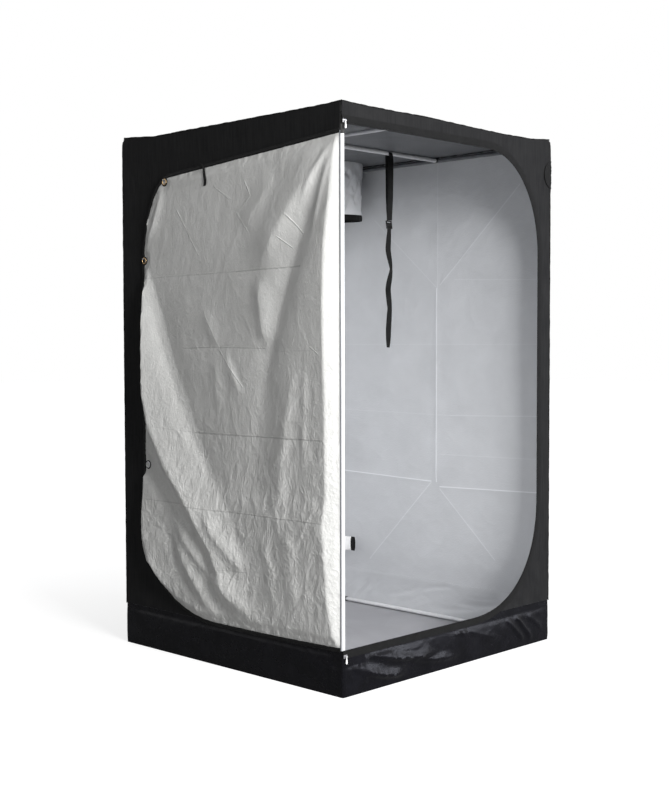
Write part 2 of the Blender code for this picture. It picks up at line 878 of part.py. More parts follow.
def make_tie_strap():
    """A short strap sewn to the door's top hem, hanging in front of the lining."""
    face = door_hem_outer_x - fit_gap
    tie_strap_y = door_y1 - tie_strap_inset
    tie_strap_top = door_top_at_pivot - tie_strap_drop
    bottom = tie_strap_top - tie_strap_length
    root = tie_strap_top - door_hem_width
    outer = face - tie_strap_thickness
    outline = [
        (face, tie_strap_top),
        (outer, tie_strap_top),
        (outer, root),
        (outer - tie_strap_swing, bottom),
        (face - tie_strap_swing, bottom),
        (face, root),
    ]
    strap = flat_outline(
        "tie_strap", black_webbing, [outline], tie_strap_width, Matrix.Translation((0, tie_strap_y, 0)) @ stand_front
    )
    return as_mesh(strap)


def make_door():
    pivot = bpy.data.objects.new("door_pivot", None)
    pivot.location = (door_pivot_x, door_pivot_y, 0)
    tent.objects.link(pivot)
    pieces = [make_door_panel(), make_door_hem(), make_tie_strap()]
    for place, material in (("upper", brass), ("middle", brass), ("lower", steel)):
        pieces.append(make_ring_and_peg(place, material))
    for piece in pieces:
        piece.parent = pivot
        piece.matrix_parent_inverse = Matrix.Translation(-pivot.location)


# Zip sliders and pulls
def make_zip_slider(place, z):
    x = slider_x
    back = tape_face_y - fit_gap
    front = back - slider_thickness
    half = slider_width / 2
    bar_y = front - bridge_standoff
    body = box(
        f"zip_slider_{place}",
        steel,
        (x - half, front, z - slider_height / 2),
        (x + half, back, z + slider_height / 2),
    )
    bevel = body.modifiers.new("bevel", "BEVEL")
    bevel.width = slider_bevel
    body = as_mesh(body)
    for side in (-1, 1):
        post = box(
            f"{place}_bridge_post",
            steel,
            (x + side * bridge_half_length - bridge_post / 2, bar_y - bridge_radius, z - bridge_radius),
            (x + side * bridge_half_length + bridge_post / 2, front + bridge_radius, z + bridge_radius),
        )
        boolean(body, post, "UNION")
    ends = bridge_half_length + fit_gap
    bar = cylinder(
        f"{place}_bridge", steel, bridge_radius - fit_gap / 2, (x - ends, bar_y, z), (x + ends, bar_y, z), "X", peg_sides
    )
    boolean(body, bar, "UNION")
    set_origin(body, (x, (front + back) / 2, z))
    for modifier in body.modifiers:
        modifier.object.location = (0, 0, 0)
    return Vector((x, bar_y, z))


def make_zip_pull(place, pin):
    ring = [(eye_radius, eye_length / 2), (eye_radius, -eye_length / 2), (eye_bore_radius, -eye_length / 2)]
    ring.append((eye_bore_radius, eye_length / 2))
    eye = as_mesh(turned(f"zip_pull_{place}", white_pull, ring, along["X"]))
    neck = -eye_bore_radius - (eye_radius - eye_bore_radius) / 2
    half = pull_width / 2
    foot = -pull_length + half
    outline = [(pull_neck_width / 2, neck), (-pull_neck_width / 2, neck)]
    outline += [(-half, foot)]
    outline += [(half * math.cos(math.radians(a)), foot + half * math.sin(math.radians(a))) for a in range(210, 360, 30)]
    outline += [(half, foot)]
    blade = as_mesh(flat_outline(f"{place}_blade", white_pull, [outline], pull_thickness, stand_front))
    boolean(eye, blade, "UNION")
    eye = as_mesh(eye)
    bpy.data.objects.remove(blade, do_unlink=True)
    eye.location = pin


# Hanger strap and its buckle
def make_hanger_strap():
    centre = Vector((bar_across_y, high_rail_z))
    inner = tube_radius + fit_gap
    outer = inner + strap_thickness
    over = [math.radians(180 * i / strap_arc_steps) for i in range(strap_arc_steps + 1)]
    hole = [(centre.x + inner * math.cos(a), centre.y + inner * math.sin(a)) for a in over]
    hole.append((centre.x, strap_loop_bottom))
    edge = [(centre.x + outer * math.cos(a), centre.y + outer * math.sin(a)) for a in over]
    half = strap_thickness
    edge.append((centre.x - half, strap_loop_bottom))
    waves = strap_tail_waves_shares
    fall = (strap_neck_bottom - strap_tail_bottom) / (len(waves) - 1)
    tail = [(centre.x + strap_tail_swing * share, strap_neck_bottom - fall * i) for i, share in enumerate(waves)]
    edge += [(y - half / 2, z) for y, z in tail]
    edge += [(y + half / 2, z) for y, z in reversed(tail)]
    edge.append((centre.x + half, strap_loop_bottom))
    middle = Matrix.Translation((strap_x, 0, 0))
    strap = as_mesh(flat_outline("hanger_strap", black_webbing, [edge, hole], strap_width, middle @ stand_side))
    set_origin(strap, (strap_x, bar_across_y, high_rail_z))
    top = strap_loop_bottom - buckle_slot_clearance
    half_slot = strap_thickness + buckle_slot_clearance
    buckle = box(
        "hanger_buckle",
        black_plastic,
        (strap_x - buckle_width / 2, bar_across_y - buckle_depth / 2, top - buckle_height),
        (strap_x + buckle_width / 2, bar_across_y + buckle_depth / 2, top),
    )
    bevel = buckle.modifiers.new("bevel", "BEVEL")
    bevel.width = buckle_bevel
    bevel.segments = 2
    buckle = as_mesh(buckle)
    half_width_slot = strap_width / 2 + buckle_slot_clearance
    slot = box(
        "buckle_slot",
        black_plastic,
        (strap_x - half_width_slot, bar_across_y - half_slot, top - buckle_height - cut_overrun),
        (strap_x + half_width_slot, bar_across_y + half_slot, top + cut_overrun),
    )
    boolean(buckle, slot, "DIFFERENCE")
    buckle = as_mesh(buckle)
    bpy.data.objects.remove(slot, do_unlink=True)
    set_origin(buckle, (strap_x, bar_across_y, high_rail_z))


# Sleeves for a duct and a cable
def oval(half_width_there, half_depth_there, z):
    turn = math.radians(sleeve_turn)
    points = []
    for i in range(sleeve_sides):
        angle = math.tau * i / sleeve_sides
        u = half_width_there * math.cos(angle)
        v = half_depth_there * math.sin(angle)
        x = sleeve_x + u * math.cos(turn) - v * math.sin(turn)
        y = sleeve_y + u * math.sin(turn) + v * math.cos(turn)
        points.append((x, y, z))
    return points


def make_roof_sleeve():
    top = roof_under - fit_gap
    rings = []
    for i in range(sleeve_rings + 1):
        share = i / sleeve_rings
        ease = share * share * (3 - share - share)
        wide = sleeve_top_half_width + (sleeve_hem_half_width - sleeve_top_half_width) * ease
        deep = sleeve_top_half_width + (sleeve_hem_half_depth - sleeve_top_half_width) * ease
        rings.append(oval(wide, deep, top + (sleeve_bottom - top) * share))
    rings.reverse()
    loft("duct_sleeve", silver_lining, rings, sleeve_thickness)
    hem_top = sleeve_bottom - fit_gap
    hem_bottom = hem_top - sleeve_hem_height + fit_gap
    rings = [oval(sleeve_hem_half_width, sleeve_hem_half_depth, z) for z in (hem_bottom, hem_top)]
    loft("duct_sleeve_hem", black_webbing, rings, sleeve_hem_thickness)


def make_back_port():
    start = half_depth - cover_thickness - fit_gap
    end = start - port_length
    outer = port_radius
    inner = port_radius - sleeve_thickness
    hem_start = end - fit_gap
    hem_end = hem_start - port_hem_length
    for name, material, near, far, bore in (
        ("port_sleeve", silver_lining, start, end, inner),
        ("port_sleeve_hem", black_webbing, hem_start, hem_end, port_radius - sleeve_hem_thickness),
    ):
        length = near - far
        profile = [(outer, length), (outer, 0), (bore, 0), (bore, length)]
        turned(
            name, material, profile, Matrix.Translation((port_x, far, port_z)) @ along["Y"], sides=port_sides
        )


make_corners()
make_posts()
make_rails()
make_rail_button()
make_bars()
make_roof()
make_front_wall()
make_other_walls()
make_base()
make_zip_tape()
make_door()
for place, z in (("top", slider_top_z), ("bottom", slider_bottom_z)):
    make_zip_pull(place, make_zip_slider(place, z))
make_hanger_strap()
make_roof_sleeve()
make_back_port()
for obj in tent.objects:
    if obj.type == "MESH":
        obj.data.shade_smooth()
        obj.data.set_sharp_from_angle(angle=math.radians(sharp_angle))
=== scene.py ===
# %% [markdown]
# # An indoor grow tent with its door hooked back
# The tent is a cube of thin steel poles in black plastic corners, and over it goes a sewn cover:
# black woven fabric outside, a pale reflective film inside. Nearly everything that shows is cloth,
# so nearly everything here is a sheet: a grid of points with its own folds, given a thickness.
# The poles, corners, rings and zip sliders come from the solid model and keep their shapes.

# %% Load the frame
import math

import bpy
import numpy as np
from mathutils import Matrix, Vector


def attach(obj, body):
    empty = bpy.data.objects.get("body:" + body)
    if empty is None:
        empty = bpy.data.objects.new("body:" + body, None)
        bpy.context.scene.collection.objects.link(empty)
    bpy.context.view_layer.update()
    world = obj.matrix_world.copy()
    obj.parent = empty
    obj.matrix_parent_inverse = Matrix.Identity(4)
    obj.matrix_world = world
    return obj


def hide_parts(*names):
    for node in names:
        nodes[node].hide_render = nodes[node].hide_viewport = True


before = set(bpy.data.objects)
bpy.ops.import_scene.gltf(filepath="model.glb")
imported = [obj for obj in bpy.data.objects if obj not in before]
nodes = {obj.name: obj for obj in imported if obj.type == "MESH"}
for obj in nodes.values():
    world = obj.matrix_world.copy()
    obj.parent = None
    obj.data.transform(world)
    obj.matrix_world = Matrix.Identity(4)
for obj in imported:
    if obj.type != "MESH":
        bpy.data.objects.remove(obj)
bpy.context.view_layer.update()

# %% [markdown]
# ## The camera
# The camera stands a little above chest height, off the tent's near left corner, and looks at that
# corner almost level. Its place was fitted to the corners of the tent, so the poles land where the
# photograph has them. The lens is a mild telephoto, set on the tall side of the picture.

# %% Camera
scene = bpy.context.scene
camera_place = (-3.6926, -3.5542, 1.201)
yaw, pitch, roll = math.radians(45.956), math.radians(-2.609), -0.0024

camera_data = bpy.data.cameras.new("camera")
camera_data.sensor_fit = "VERTICAL"
camera_data.sensor_height = 36
camera_data.lens = 57.66
camera = bpy.data.objects.new("camera", camera_data)
scene.collection.objects.link(camera)
ahead = Vector((math.cos(pitch) * math.sin(yaw), math.cos(pitch) * math.cos(yaw), math.sin(pitch)))
level_right = ahead.cross(Vector((0, 0, 1))).normalized()
level_up = level_right.cross(ahead)
right = math.cos(roll) * level_right + math.sin(roll) * level_up
up = -math.sin(roll) * level_right + math.cos(roll) * level_up
camera.matrix_world = Matrix.Translation(camera_place) @ Matrix((right, up, -ahead)).transposed().to_4x4()
scene.camera = camera
scene.view_settings.view_transform = "Standard"
print("camera at", [round(c, 2) for c in camera.location])

# %% [markdown]
# ## Node helpers
# World, floor and finishes are all built from shader nodes. A socket is fed either by another socket
# or by a plain value, so one small function does both, and the rest place a node and feed it.

# %% Node helpers
def feed(tree, socket, value):
    """Joins a socket to another one, or gives it a plain value."""
    if isinstance(value, bpy.types.NodeSocket):
        tree.links.new(value, socket)
    else:
        socket.default_value = value


def place_node(tree, kind, inputs=None, **settings):
    """A node with its settings made and its sockets fed."""
    node = tree.nodes.new(kind)
    for key, value in settings.items():
        setattr(node, key, value)
    for socket, value in (inputs or {}).items():
        feed(tree, node.inputs[socket], value)
    return node


def math_node(tree, operation, a, b=0.0, clamp=False):
    return place_node(tree, "ShaderNodeMath", {0: a, 1: b}, operation=operation, use_clamp=clamp).outputs[0]


def vector_node(tree, operation, a, b=None, scale=None):
    given = {0: a, 1: b, "Scale": scale}
    inputs = {socket: value for socket, value in given.items() if value is not None}
    node = place_node(tree, "ShaderNodeVectorMath", inputs, operation=operation)
    return node.outputs["Value" if operation in ("DOT_PRODUCT", "DISTANCE", "LENGTH") else "Vector"]


def map_range(tree, value, low, high, start=0.0, end=1.0):
    """Turns the span from start to end into the span from low to high."""
    inputs = {"Value": value, "From Min": start, "From Max": end, "To Min": low, "To Max": high}
    return place_node(tree, "ShaderNodeMapRange", inputs).outputs[0]


def new_finish(name, colour, roughness, metallic=0.0, specular=0.5, sheen=0.0):
    """A material with plain numbers on its Principled surface."""
    material = bpy.data.materials.new(name)
    material.use_nodes = True
    tree = material.node_tree
    surface = tree.nodes["Principled BSDF"]
    surface.inputs["Base Color"].default_value = (*colour, 1)
    surface.inputs["Roughness"].default_value = roughness
    surface.inputs["Metallic"].default_value = metallic
    surface.inputs["Specular IOR Level"].default_value = specular
    surface.inputs["Sheen Weight"].default_value = sheen
    return material, tree, surface


# %% [markdown]
# ## Light
# One large softbox stands in front of the doorway, a little to the left and above it. The front is
# bright, light goes in through the doorway, and the left side is lit only at a slant, so every fold
# of the silver lining has a bright and a dark flank. A narrow strip light at the right gives the
# coated band its shine, and two weak ones fill the left and the top. Inside the tent the light
# bounces between the pale linings, and a small hidden lamp inside the left wall helps it along. The
# world is white where the camera or a reflection sees it, and a dim grey for everything else.

# %% Softboxes and world
def add_softbox(name, place, target, size, power, colour=(1, 1, 1)):
    data = bpy.data.lights.new(name, "AREA")
    data.shape = "RECTANGLE"
    data.size, data.size_y = size
    data.energy = power
    data.color = colour
    lamp = bpy.data.objects.new(name, data)
    lamp.location = place
    lamp.rotation_euler = (Vector(target) - Vector(place)).to_track_quat("-Z", "Y").to_euler()
    scene.collection.objects.link(lamp)
    return lamp


add_softbox("front_softbox", (-1.55, -5.8, 2.75), (0, -0.3, 1.0), (2.2, 1.6), 480)
add_softbox("strip_light", (4.4, -4.7, 1.5), (0.2, -0.5, 0.5), (1.2, 2.8), 90, (0.84, 0.87, 1.0))
add_softbox("left_softbox", (-5.2, 2.2, 2.6), (-0.6, 0, 1.1), (2.5, 2.5), 6)
add_softbox("top_softbox", (0.5, 0.8, 5.5), (0, 0, 1.5), (3.0, 3.0), 20)
inside_lamp = add_softbox("inside_lamp", (-0.54, -0.14, 0.75), (0.6, -0.14, 0.75), (0.8, 1.1), 5.7)
inside_lamp.visible_camera = False
inside_lamp.visible_glossy = False

world = bpy.data.worlds.new("studio")
world.use_nodes = True
scene.world = world
sky = world.node_tree
sky.nodes.clear()
path = place_node(sky, "ShaderNodeLightPath").outputs
seen = math_node(sky, "MAXIMUM", path["Is Camera Ray"], path["Is Glossy Ray"])
seen = math_node(sky, "MAXIMUM", seen, path["Is Transmission Ray"])
fill = place_node(sky, "ShaderNodeBackground", {"Color": (0.95, 0.97, 1.0, 1), "Strength": 0.075})
white = place_node(sky, "ShaderNodeBackground", {"Color": (1, 1, 1, 1), "Strength": 1.0})
both = place_node(sky, "ShaderNodeMixShader", {0: seen, 1: fill.outputs[0], 2: white.outputs[0]})
place_node(sky, "ShaderNodeOutputWorld", {"Surface": both.outputs[0]})
print("lamps:", len(bpy.data.lights))

# %% [markdown]
# ## The floor under the tent
# The tent stands on plain pale paper. A glow that only the camera sees lifts it to the white of the
# background, so the paper throws little light back on the tent and just its shadow stays grey.

# %% Paper floor
bpy.ops.object.select_all(action="DESELECT")
bpy.ops.mesh.primitive_plane_add(size=60, location=(0, 0, -0.0005))
paper_floor = bpy.context.object
paper_floor.name = "paper_floor"
paper, tree, surface = new_finish("white_paper", (0.45, 0.45, 0.45), 0.9, specular=0.1)
away = vector_node(tree, "LENGTH", place_node(tree, "ShaderNodeTexCoord").outputs["Object"])
lift = map_range(tree, away, 0.80, 1.0, start=0.9, end=3.0)
camera_only = place_node(tree, "ShaderNodeLightPath").outputs["Is Camera Ray"]
surface.inputs["Emission Color"].default_value = (1, 1, 1, 1)
feed(tree, surface.inputs["Emission Strength"], math_node(tree, "MULTIPLY", camera_only, lift))
paper_floor.data.materials.append(paper)
print("floor:", paper_floor.name)

# %% [markdown]
# ## Patterns that several finishes share
# Each pattern is a node group that is built once. The weave is two sine waves multiplied, which gives
# the over and under of a plain weave. The crumple is ridged noise, like film that has been crushed.
# The fold line is a soft line between two points of the flat cloth: the cover came folded, and the
# finishes use it for bumps, for painted highlights along the creases of the linings and the door's short
# creases, and for painted shade along the door's level folds. On cloth they read its own UV map, which is
# laid out in metres, and on hard parts the place in the object.

# %% Pattern groups
def new_pattern(name, *more):
    """An empty node group, its inputs by name, and the one socket that it puts out."""
    group = bpy.data.node_groups.new(name, "ShaderNodeTree")
    for label in ("Vector", "Size", *more):
        kind = "NodeSocketFloat" if label == "Size" else "NodeSocketVector"
        group.interface.new_socket(name=label, in_out="INPUT", socket_type=kind)
    group.interface.new_socket(name="Result", in_out="OUTPUT", socket_type="NodeSocketFloat")
    ins = group.nodes.new("NodeGroupInput").outputs
    return group, ins, group.nodes.new("NodeGroupOutput").inputs[0]


def noise(tree, vector, scale, detail, roughness=0.5, **settings):
    inputs = {"Vector": vector, "Scale": scale, "Detail": detail, "Roughness": roughness}
    return place_node(tree, "ShaderNodeTexNoise", inputs, **settings)


weave, ins, result = new_pattern("plain_weave")
place = place_node(weave, "ShaderNodeSeparateXYZ", {0: ins["Vector"]})
waves = []
for axis in "XY":
    turns = math_node(weave, "DIVIDE", place.outputs[axis], ins["Size"])
    waves.append(math_node(weave, "SINE", math_node(weave, "MULTIPLY", turns, math.pi)))
feed(weave, result, map_range(weave, math_node(weave, "MULTIPLY", *waves), 0.0, 1.0, start=-1.0))

crumple, ins, result = new_pattern("crumpled_film")
bent = noise(crumple, ins["Vector"], 9.0, 1.0).outputs["Color"]
moved = vector_node(crumple, "ADD", ins["Vector"], vector_node(crumple, "SCALE", bent, scale=0.05))
crushed = noise(crumple, moved, ins["Size"], 2.0, noise_type="RIDGED_MULTIFRACTAL")
crushed.inputs["Offset"].default_value = 1.0
crushed.inputs["Gain"].default_value = 1.4
feed(crumple, result, crushed.outputs["Fac"])

mottle, ins, result = new_pattern("uneven_tone")
patches = noise(mottle, ins["Vector"], ins["Size"], 4.0, 0.6)
feed(mottle, result, map_range(mottle, patches.outputs["Fac"], 0.0, 1.0, start=0.3, end=0.7))

streak, ins, result = new_pattern("long_threads")
place = place_node(streak, "ShaderNodeSeparateXYZ", {0: ins["Vector"]}).outputs
narrow = math_node(streak, "MULTIPLY", place["X"], ins["Size"])
long = math_node(streak, "MULTIPLY", place["Y"], 9.0)
stretched = place_node(streak, "ShaderNodeCombineXYZ", {"X": narrow, "Y": long}).outputs[0]
threads = noise(streak, stretched, 1.0, 2.0)
feed(streak, result, map_range(streak, threads.outputs["Fac"], 0.0, 1.0, start=0.3, end=0.7))

fold_line, ins, result = new_pattern("fold_line", "Start", "End")
run = vector_node(fold_line, "SUBTRACT", ins["End"], ins["Start"])
arm = vector_node(fold_line, "SUBTRACT", ins["Vector"], ins["Start"])
along = vector_node(fold_line, "DOT_PRODUCT", arm, run)
whole = vector_node(fold_line, "DOT_PRODUCT", run, run)
share = math_node(fold_line, "DIVIDE", along, whole, clamp=True)
gap = vector_node(fold_line, "DISTANCE", arm, vector_node(fold_line, "SCALE", run, scale=share))
near = math_node(fold_line, "DIVIDE", gap, ins["Size"])
near = math_node(fold_line, "SUBTRACT", 1.0, near, clamp=True)
feed(fold_line, result, math_node(fold_line, "POWER", near, 1.6))
print("patterns:", [group.name for group in bpy.data.node_groups])

# %% [markdown]
# ## Finishes
# A finish starts as a Principled surface with its plain numbers on its own sockets. Then the patterns
# join it: one drives the colour between a darker and a lighter tone, one the roughness, and the rest
# go into a Bump node. The numbers are chosen for the light of this scene, where a colour comes out
# about as it is written on the front of the tent.

# %% Finish helpers
def use_pattern(tree, group, vector, size, **more):
    inputs = {"Vector": vector, "Size": size, **more}
    return place_node(tree, "ShaderNodeGroup", inputs, node_tree=group).outputs[0]


def blend_tones(tree, mask, dark, light):
    """The colour that a mask picks between two tones, which are colours or sockets."""
    mix = place_node(tree, "ShaderNodeMix", {"Factor": mask}, data_type="RGBA")
    for socket, tone in ((mix.inputs[6], dark), (mix.inputs[7], light)):
        feed(tree, socket, tone if isinstance(tone, bpy.types.NodeSocket) else (*tone, 1))
    return mix.outputs[2]


def show_through(tree, mask, share, under, over):
    """Lays a second tone over the first where the mask is high, and only for a share."""
    return blend_tones(tree, math_node(tree, "MULTIPLY", mask, share), under, over)


def dress(tree, surface, colour, roughness, heights):
    """Joins a colour, a roughness and Bump nodes: each height is (socket, strength, metres)."""
    feed(tree, surface.inputs["Base Color"], colour)
    feed(tree, surface.inputs["Roughness"], roughness)
    normal = None
    for height, strength, distance in heights:
        inputs = {"Height": height, "Strength": strength, "Distance": distance}
        if normal is not None:
            inputs["Normal"] = normal
        normal = place_node(tree, "ShaderNodeBump", inputs).outputs[0]
    feed(tree, surface.inputs["Normal"], normal)


def cloth_map(tree):
    return place_node(tree, "ShaderNodeTexCoord").outputs["UV"]


def fold_masks(tree, uv, folds):
    """How strongly the folds show at each place of the flat cloth."""
    shown = 0.0
    for start, end, width, strength in folds:
        line = use_pattern(tree, fold_line, uv, width, Start=(*start, 0), End=(*end, 0))
        shown = math_node(tree, "MAXIMUM", shown, math_node(tree, "MULTIPLY", line, strength))
    return shown


# %% [markdown]
# ### Cover cloth
# The outside is black polyester in a plain weave, matt and a little uneven, with long threads that
# catch the light. The lining is a white reflective film on the same cloth. It is not a mirror: it
# spreads the light, and along the cover's old folds a painted highlight makes thin bright lines.

# %% Cover, lining and ceiling
# Folds of the walls: the walls are pressed in along them, and the linings paint a highlight along them.
side_folds = (
    # from, to (place along the wall, height), width, how much it shows
    ((-0.02, 1.43), (-0.02, 0.595), 0.0045, 1.0),
    ((-0.025, 1.96), (-0.025, 1.43), 0.0040, 0.30),
    ((-0.04, 1.445), (-0.455, 1.84), 0.0040, 0.55),
    ((-0.025, 1.43), (0.34, 1.745), 0.0040, 0.30),
    ((0.01, 0.59), (0.37, 0.215), 0.0045, 0.45),
    ((-0.04, 0.565), (-0.335, 0.29), 0.0045, 0.45),
    ((-0.12, 1.465), (-0.58, 1.45), 0.0040, 0.22),
    ((0.58, 1.19), (-0.58, 1.19), 0.0040, 0.16),
    ((0.58, 0.89), (-0.095, 0.885), 0.0040, 0.18),
    ((-0.095, 0.885), (-0.58, 0.90), 0.0040, 0.35),
    ((-0.04, 0.715), (-0.58, 0.725), 0.0040, 0.22),
    ((0.58, 0.61), (0.01, 0.595), 0.0045, 0.95),
    ((-0.04, 0.575), (-0.58, 0.59), 0.0045, 0.95),
)


def make_cover_black():
    material, tree, surface = new_finish("black_woven_cover", (0.018, 0.018, 0.0185), 0.7, specular=0.035)
    uv = cloth_map(tree)
    tone = use_pattern(tree, mottle, uv, 9.0)
    threads = use_pattern(tree, streak, uv, 140.0)
    colour = blend_tones(tree, tone, (0.014, 0.014, 0.0148), (0.022, 0.022, 0.0226))
    colour = show_through(tree, threads, 0.35, colour, (0.036, 0.036, 0.036))
    cloth = use_pattern(tree, weave, uv, 0.0011)
    heights = [(threads, 0.12, 0.0006), (cloth, 0.35, 0.00025)]
    dress(tree, surface, colour, map_range(tree, tone, 0.62, 0.78), heights)
    return material


def make_lining(name, dark, light, metallic, roughness):
    material, tree, surface = new_finish(name, light, roughness, metallic=metallic, specular=0.35)
    uv = cloth_map(tree)
    tone = use_pattern(tree, mottle, uv, 5.0)
    grain = use_pattern(tree, mottle, uv, 150.0)
    film = use_pattern(tree, crumple, uv, 8.0)
    folds = fold_masks(tree, uv, side_folds)
    # Along the old folds the colour is lighter: a painted highlight.
    painted_crease_highlight = tuple(min(1, c * 1.5) for c in light)
    colour = show_through(tree, folds, 0.8, blend_tones(tree, tone, dark, light), painted_crease_highlight)
    cloth = use_pattern(tree, weave, uv, 0.0012)
    heights = [(folds, 0.5, 0.0012), (film, 0.3, 0.0022), (grain, 0.4, 0.0009), (cloth, 0.2, 0.0002)]
    dress(tree, surface, colour, map_range(tree, grain, roughness - 0.06, roughness + 0.08), heights)
    return material


cover_black = make_cover_black()
white_lining = make_lining("white_reflective_lining", (0.49, 0.50, 0.517), (0.54, 0.55, 0.568), 0.05, 0.45)
# The port sleeve gets a brighter copy of the same lining: painted light.
lit_sleeve_lining = make_lining("painted_light_sleeve_lining", (0.80, 0.80, 0.80), (0.88, 0.88, 0.88), 0.0, 0.5)
# The roof's inner side gets a much darker copy of the wall lining: painted shade, as little light reaches the
# ceiling.
shaded_roof_lining = make_lining("painted_shade_roof_lining", (0.085, 0.088, 0.094), (0.115, 0.119, 0.127), 0.03, 0.5)
print("cover finishes:", len(bpy.data.materials))

# %% [markdown]
# ### Band, floor and door film
# The band round the foot is a coated cloth: black with a blue cast and a soft shine, so its crumples
# catch the light. The floor is a duller grey film. The door's lining shows its silver side in full
# light, and it is the brightest thing on the tent. Its crinkles are strong in the slack lower half
# and weak above, its old folds get painted shade, and short sharp creases a painted highlight.

# %% Band, floor and silver
door_creases = (
    # level folds of the door, in the same form as those of the walls; the door's finish paints shade along
    # them
    ((0.44, 1.45), (-0.10, 1.455), 0.0040, 0.45),
    ((-0.10, 1.455), (-0.43, 1.46), 0.0045, 0.9),
    ((0.215, 1.18), (0.02, 1.185), 0.0040, 0.8),
    ((0.02, 1.185), (-0.25, 1.18), 0.0040, 0.7),
    ((-0.30, 1.17), (-0.54, 1.175), 0.0035, 0.25),
    ((0.36, 0.88), (0.15, 0.865), 0.0035, 0.3),
    ((0.15, 0.865), (-0.54, 0.87), 0.0050, 1.0),
    ((0.43, 0.595), (0.02, 0.585), 0.0040, 0.6),
    ((0.02, 0.585), (-0.54, 0.59), 0.0045, 0.9),
    ((0.02, 0.37), (-0.145, 0.375), 0.0035, 0.5),
)
door_highlight_creases = (
    # short sharp creases of the door, in the same form; the door's finish paints a highlight along them
    ((0.25, 1.70), (0.12, 1.525), 0.0035, 0.9),
    ((-0.135, 1.775), (-0.17, 1.72), 0.0035, 1.0),
    ((-0.17, 1.72), (-0.125, 1.68), 0.0035, 0.8),
    ((0.035, 1.77), (-0.055, 1.715), 0.0035, 0.7),
    ((0.01, 1.755), (-0.065, 1.715), 0.0035, 0.6),
    ((-0.095, 1.665), (-0.16, 1.595), 0.0035, 0.7),
    ((-0.37, 1.635), (-0.435, 1.57), 0.0040, 1.0),
    ((-0.325, 1.565), (-0.385, 1.525), 0.0035, 0.9),
    ((-0.005, 1.17), (-0.13, 1.04), 0.0040, 0.8),
    ((0.08, 1.305), (-0.005, 1.175), 0.0040, 0.4),
    ((-0.425, 1.25), (-0.39, 1.185), 0.0035, 0.5),
    ((-0.485, 1.185), (-0.525, 1.16), 0.0035, 0.7),
)


def make_film(name, plain, dark, light, tone_size, rough, layers):
    """A coated cloth with uneven tones, and a bump for each layer: pattern, size, strength, metres."""
    material, tree, surface = new_finish(name, **plain)
    uv = cloth_map(tree)
    tone = use_pattern(tree, mottle, uv, tone_size)
    heights = [(use_pattern(tree, pattern, uv, size), *bump) for pattern, size, *bump in layers]
    dress(tree, surface, blend_tones(tree, tone, dark, light), map_range(tree, tone, *rough), heights)
    return material


def make_silver():
    plain = {"colour": (0.78, 0.78, 0.765), "roughness": 0.45, "metallic": 0.05, "specular": 0.3}
    material, tree, surface = new_finish("silver_door_film", **plain)
    uv = cloth_map(tree)
    turned = {"Vector": uv, "Rotation": (0, 0, 0.62), "Scale": (1.7, 1.0, 1)}
    slant = place_node(tree, "ShaderNodeMapping", turned).outputs[0]
    level = place_node(tree, "ShaderNodeSeparateXYZ", {0: uv}).outputs["Y"]
    slack = map_range(tree, level, 0.25, 1.0, start=1.30, end=0.55)
    tone = use_pattern(tree, mottle, uv, 6.0)
    crushed = math_node(tree, "MULTIPLY", use_pattern(tree, crumple, slant, 11.0), slack)
    crinkled = math_node(tree, "MULTIPLY", use_pattern(tree, crumple, slant, 42.0), slack)
    grain = use_pattern(tree, mottle, slant, 90.0)
    cloth = use_pattern(tree, weave, uv, 0.0012)
    folds = fold_masks(tree, uv, door_creases)
    lines = fold_masks(tree, uv, door_highlight_creases)
    colour = blend_tones(tree, tone, (0.72, 0.72, 0.70), (0.82, 0.82, 0.80))
    # The level folds darken the film: painted shade.
    colour = show_through(tree, folds, 0.5, colour, (0.30, 0.30, 0.29))
    # The short sharp creases lighten the film: a painted highlight.
    colour = show_through(tree, lines, 0.45, colour, (0.93, 0.93, 0.91))
    heights = [(crushed, 0.7, 0.0020), (crinkled, 0.6, 0.0012), (folds, 0.6, 0.0016)]
    heights += [(lines, 0.7, 0.0020), (grain, 0.5, 0.0012), (cloth, 0.15, 0.0002)]
    dress(tree, surface, colour, map_range(tree, tone, 0.40, 0.52), heights)
    return material


band_plain = {"colour": (0.004, 0.004, 0.0055), "roughness": 0.26, "specular": 0.13}
band_tones = (0.003, 0.003, 0.0042), (0.006, 0.006, 0.0085)
band_layers = ((crumple, 16.0, 0.3, 0.0016), (weave, 0.0011, 0.15, 0.0002))
coated_band = make_film("coated_black_band", band_plain, *band_tones, 11.0, (0.22, 0.32), band_layers)
floor_plain = {"colour": (0.33, 0.33, 0.345), "roughness": 0.55, "specular": 0.2}
floor_tones = (0.30, 0.30, 0.318), (0.36, 0.36, 0.38)
floor_layers = ((crumple, 7.0, 0.2, 0.002), (mottle, 160.0, 0.3, 0.0008), (weave, 0.0014, 0.2, 0.0002))
floor_film = make_film("grey_floor_film", floor_plain, *floor_tones, 4.0, (0.5, 0.62), floor_layers)
silver_film = make_silver()
print("film finishes:", coated_band.name, floor_film.name, silver_film.name)

# %% [markdown]
# ### Tapes, plastic and metal
# Webbing and tapes are ribbed across. The corners are moulded plastic with a fine grain, the poles
# are powder coated in white, and the rings and sliders are plated metal. The bars and bottom rails get
# a grey copy of the white coat and the top rails a dark one: painted shade.

# %% Tape, plastic, coating, metal
def make_webbing(name, dark, light):
    material, tree, surface = new_finish(name, light, 0.75, specular=0.12, sheen=0.05)
    uv = cloth_map(tree)
    tone = use_pattern(tree, mottle, uv, 30.0)
    cloth = use_pattern(tree, weave, uv, 0.0016)
    colour = blend_tones(tree, math_node(tree, "MULTIPLY", tone, cloth), dark, light)
    dress(tree, surface, colour, 0.75, [(cloth, 0.6, 0.0004)])
    return material


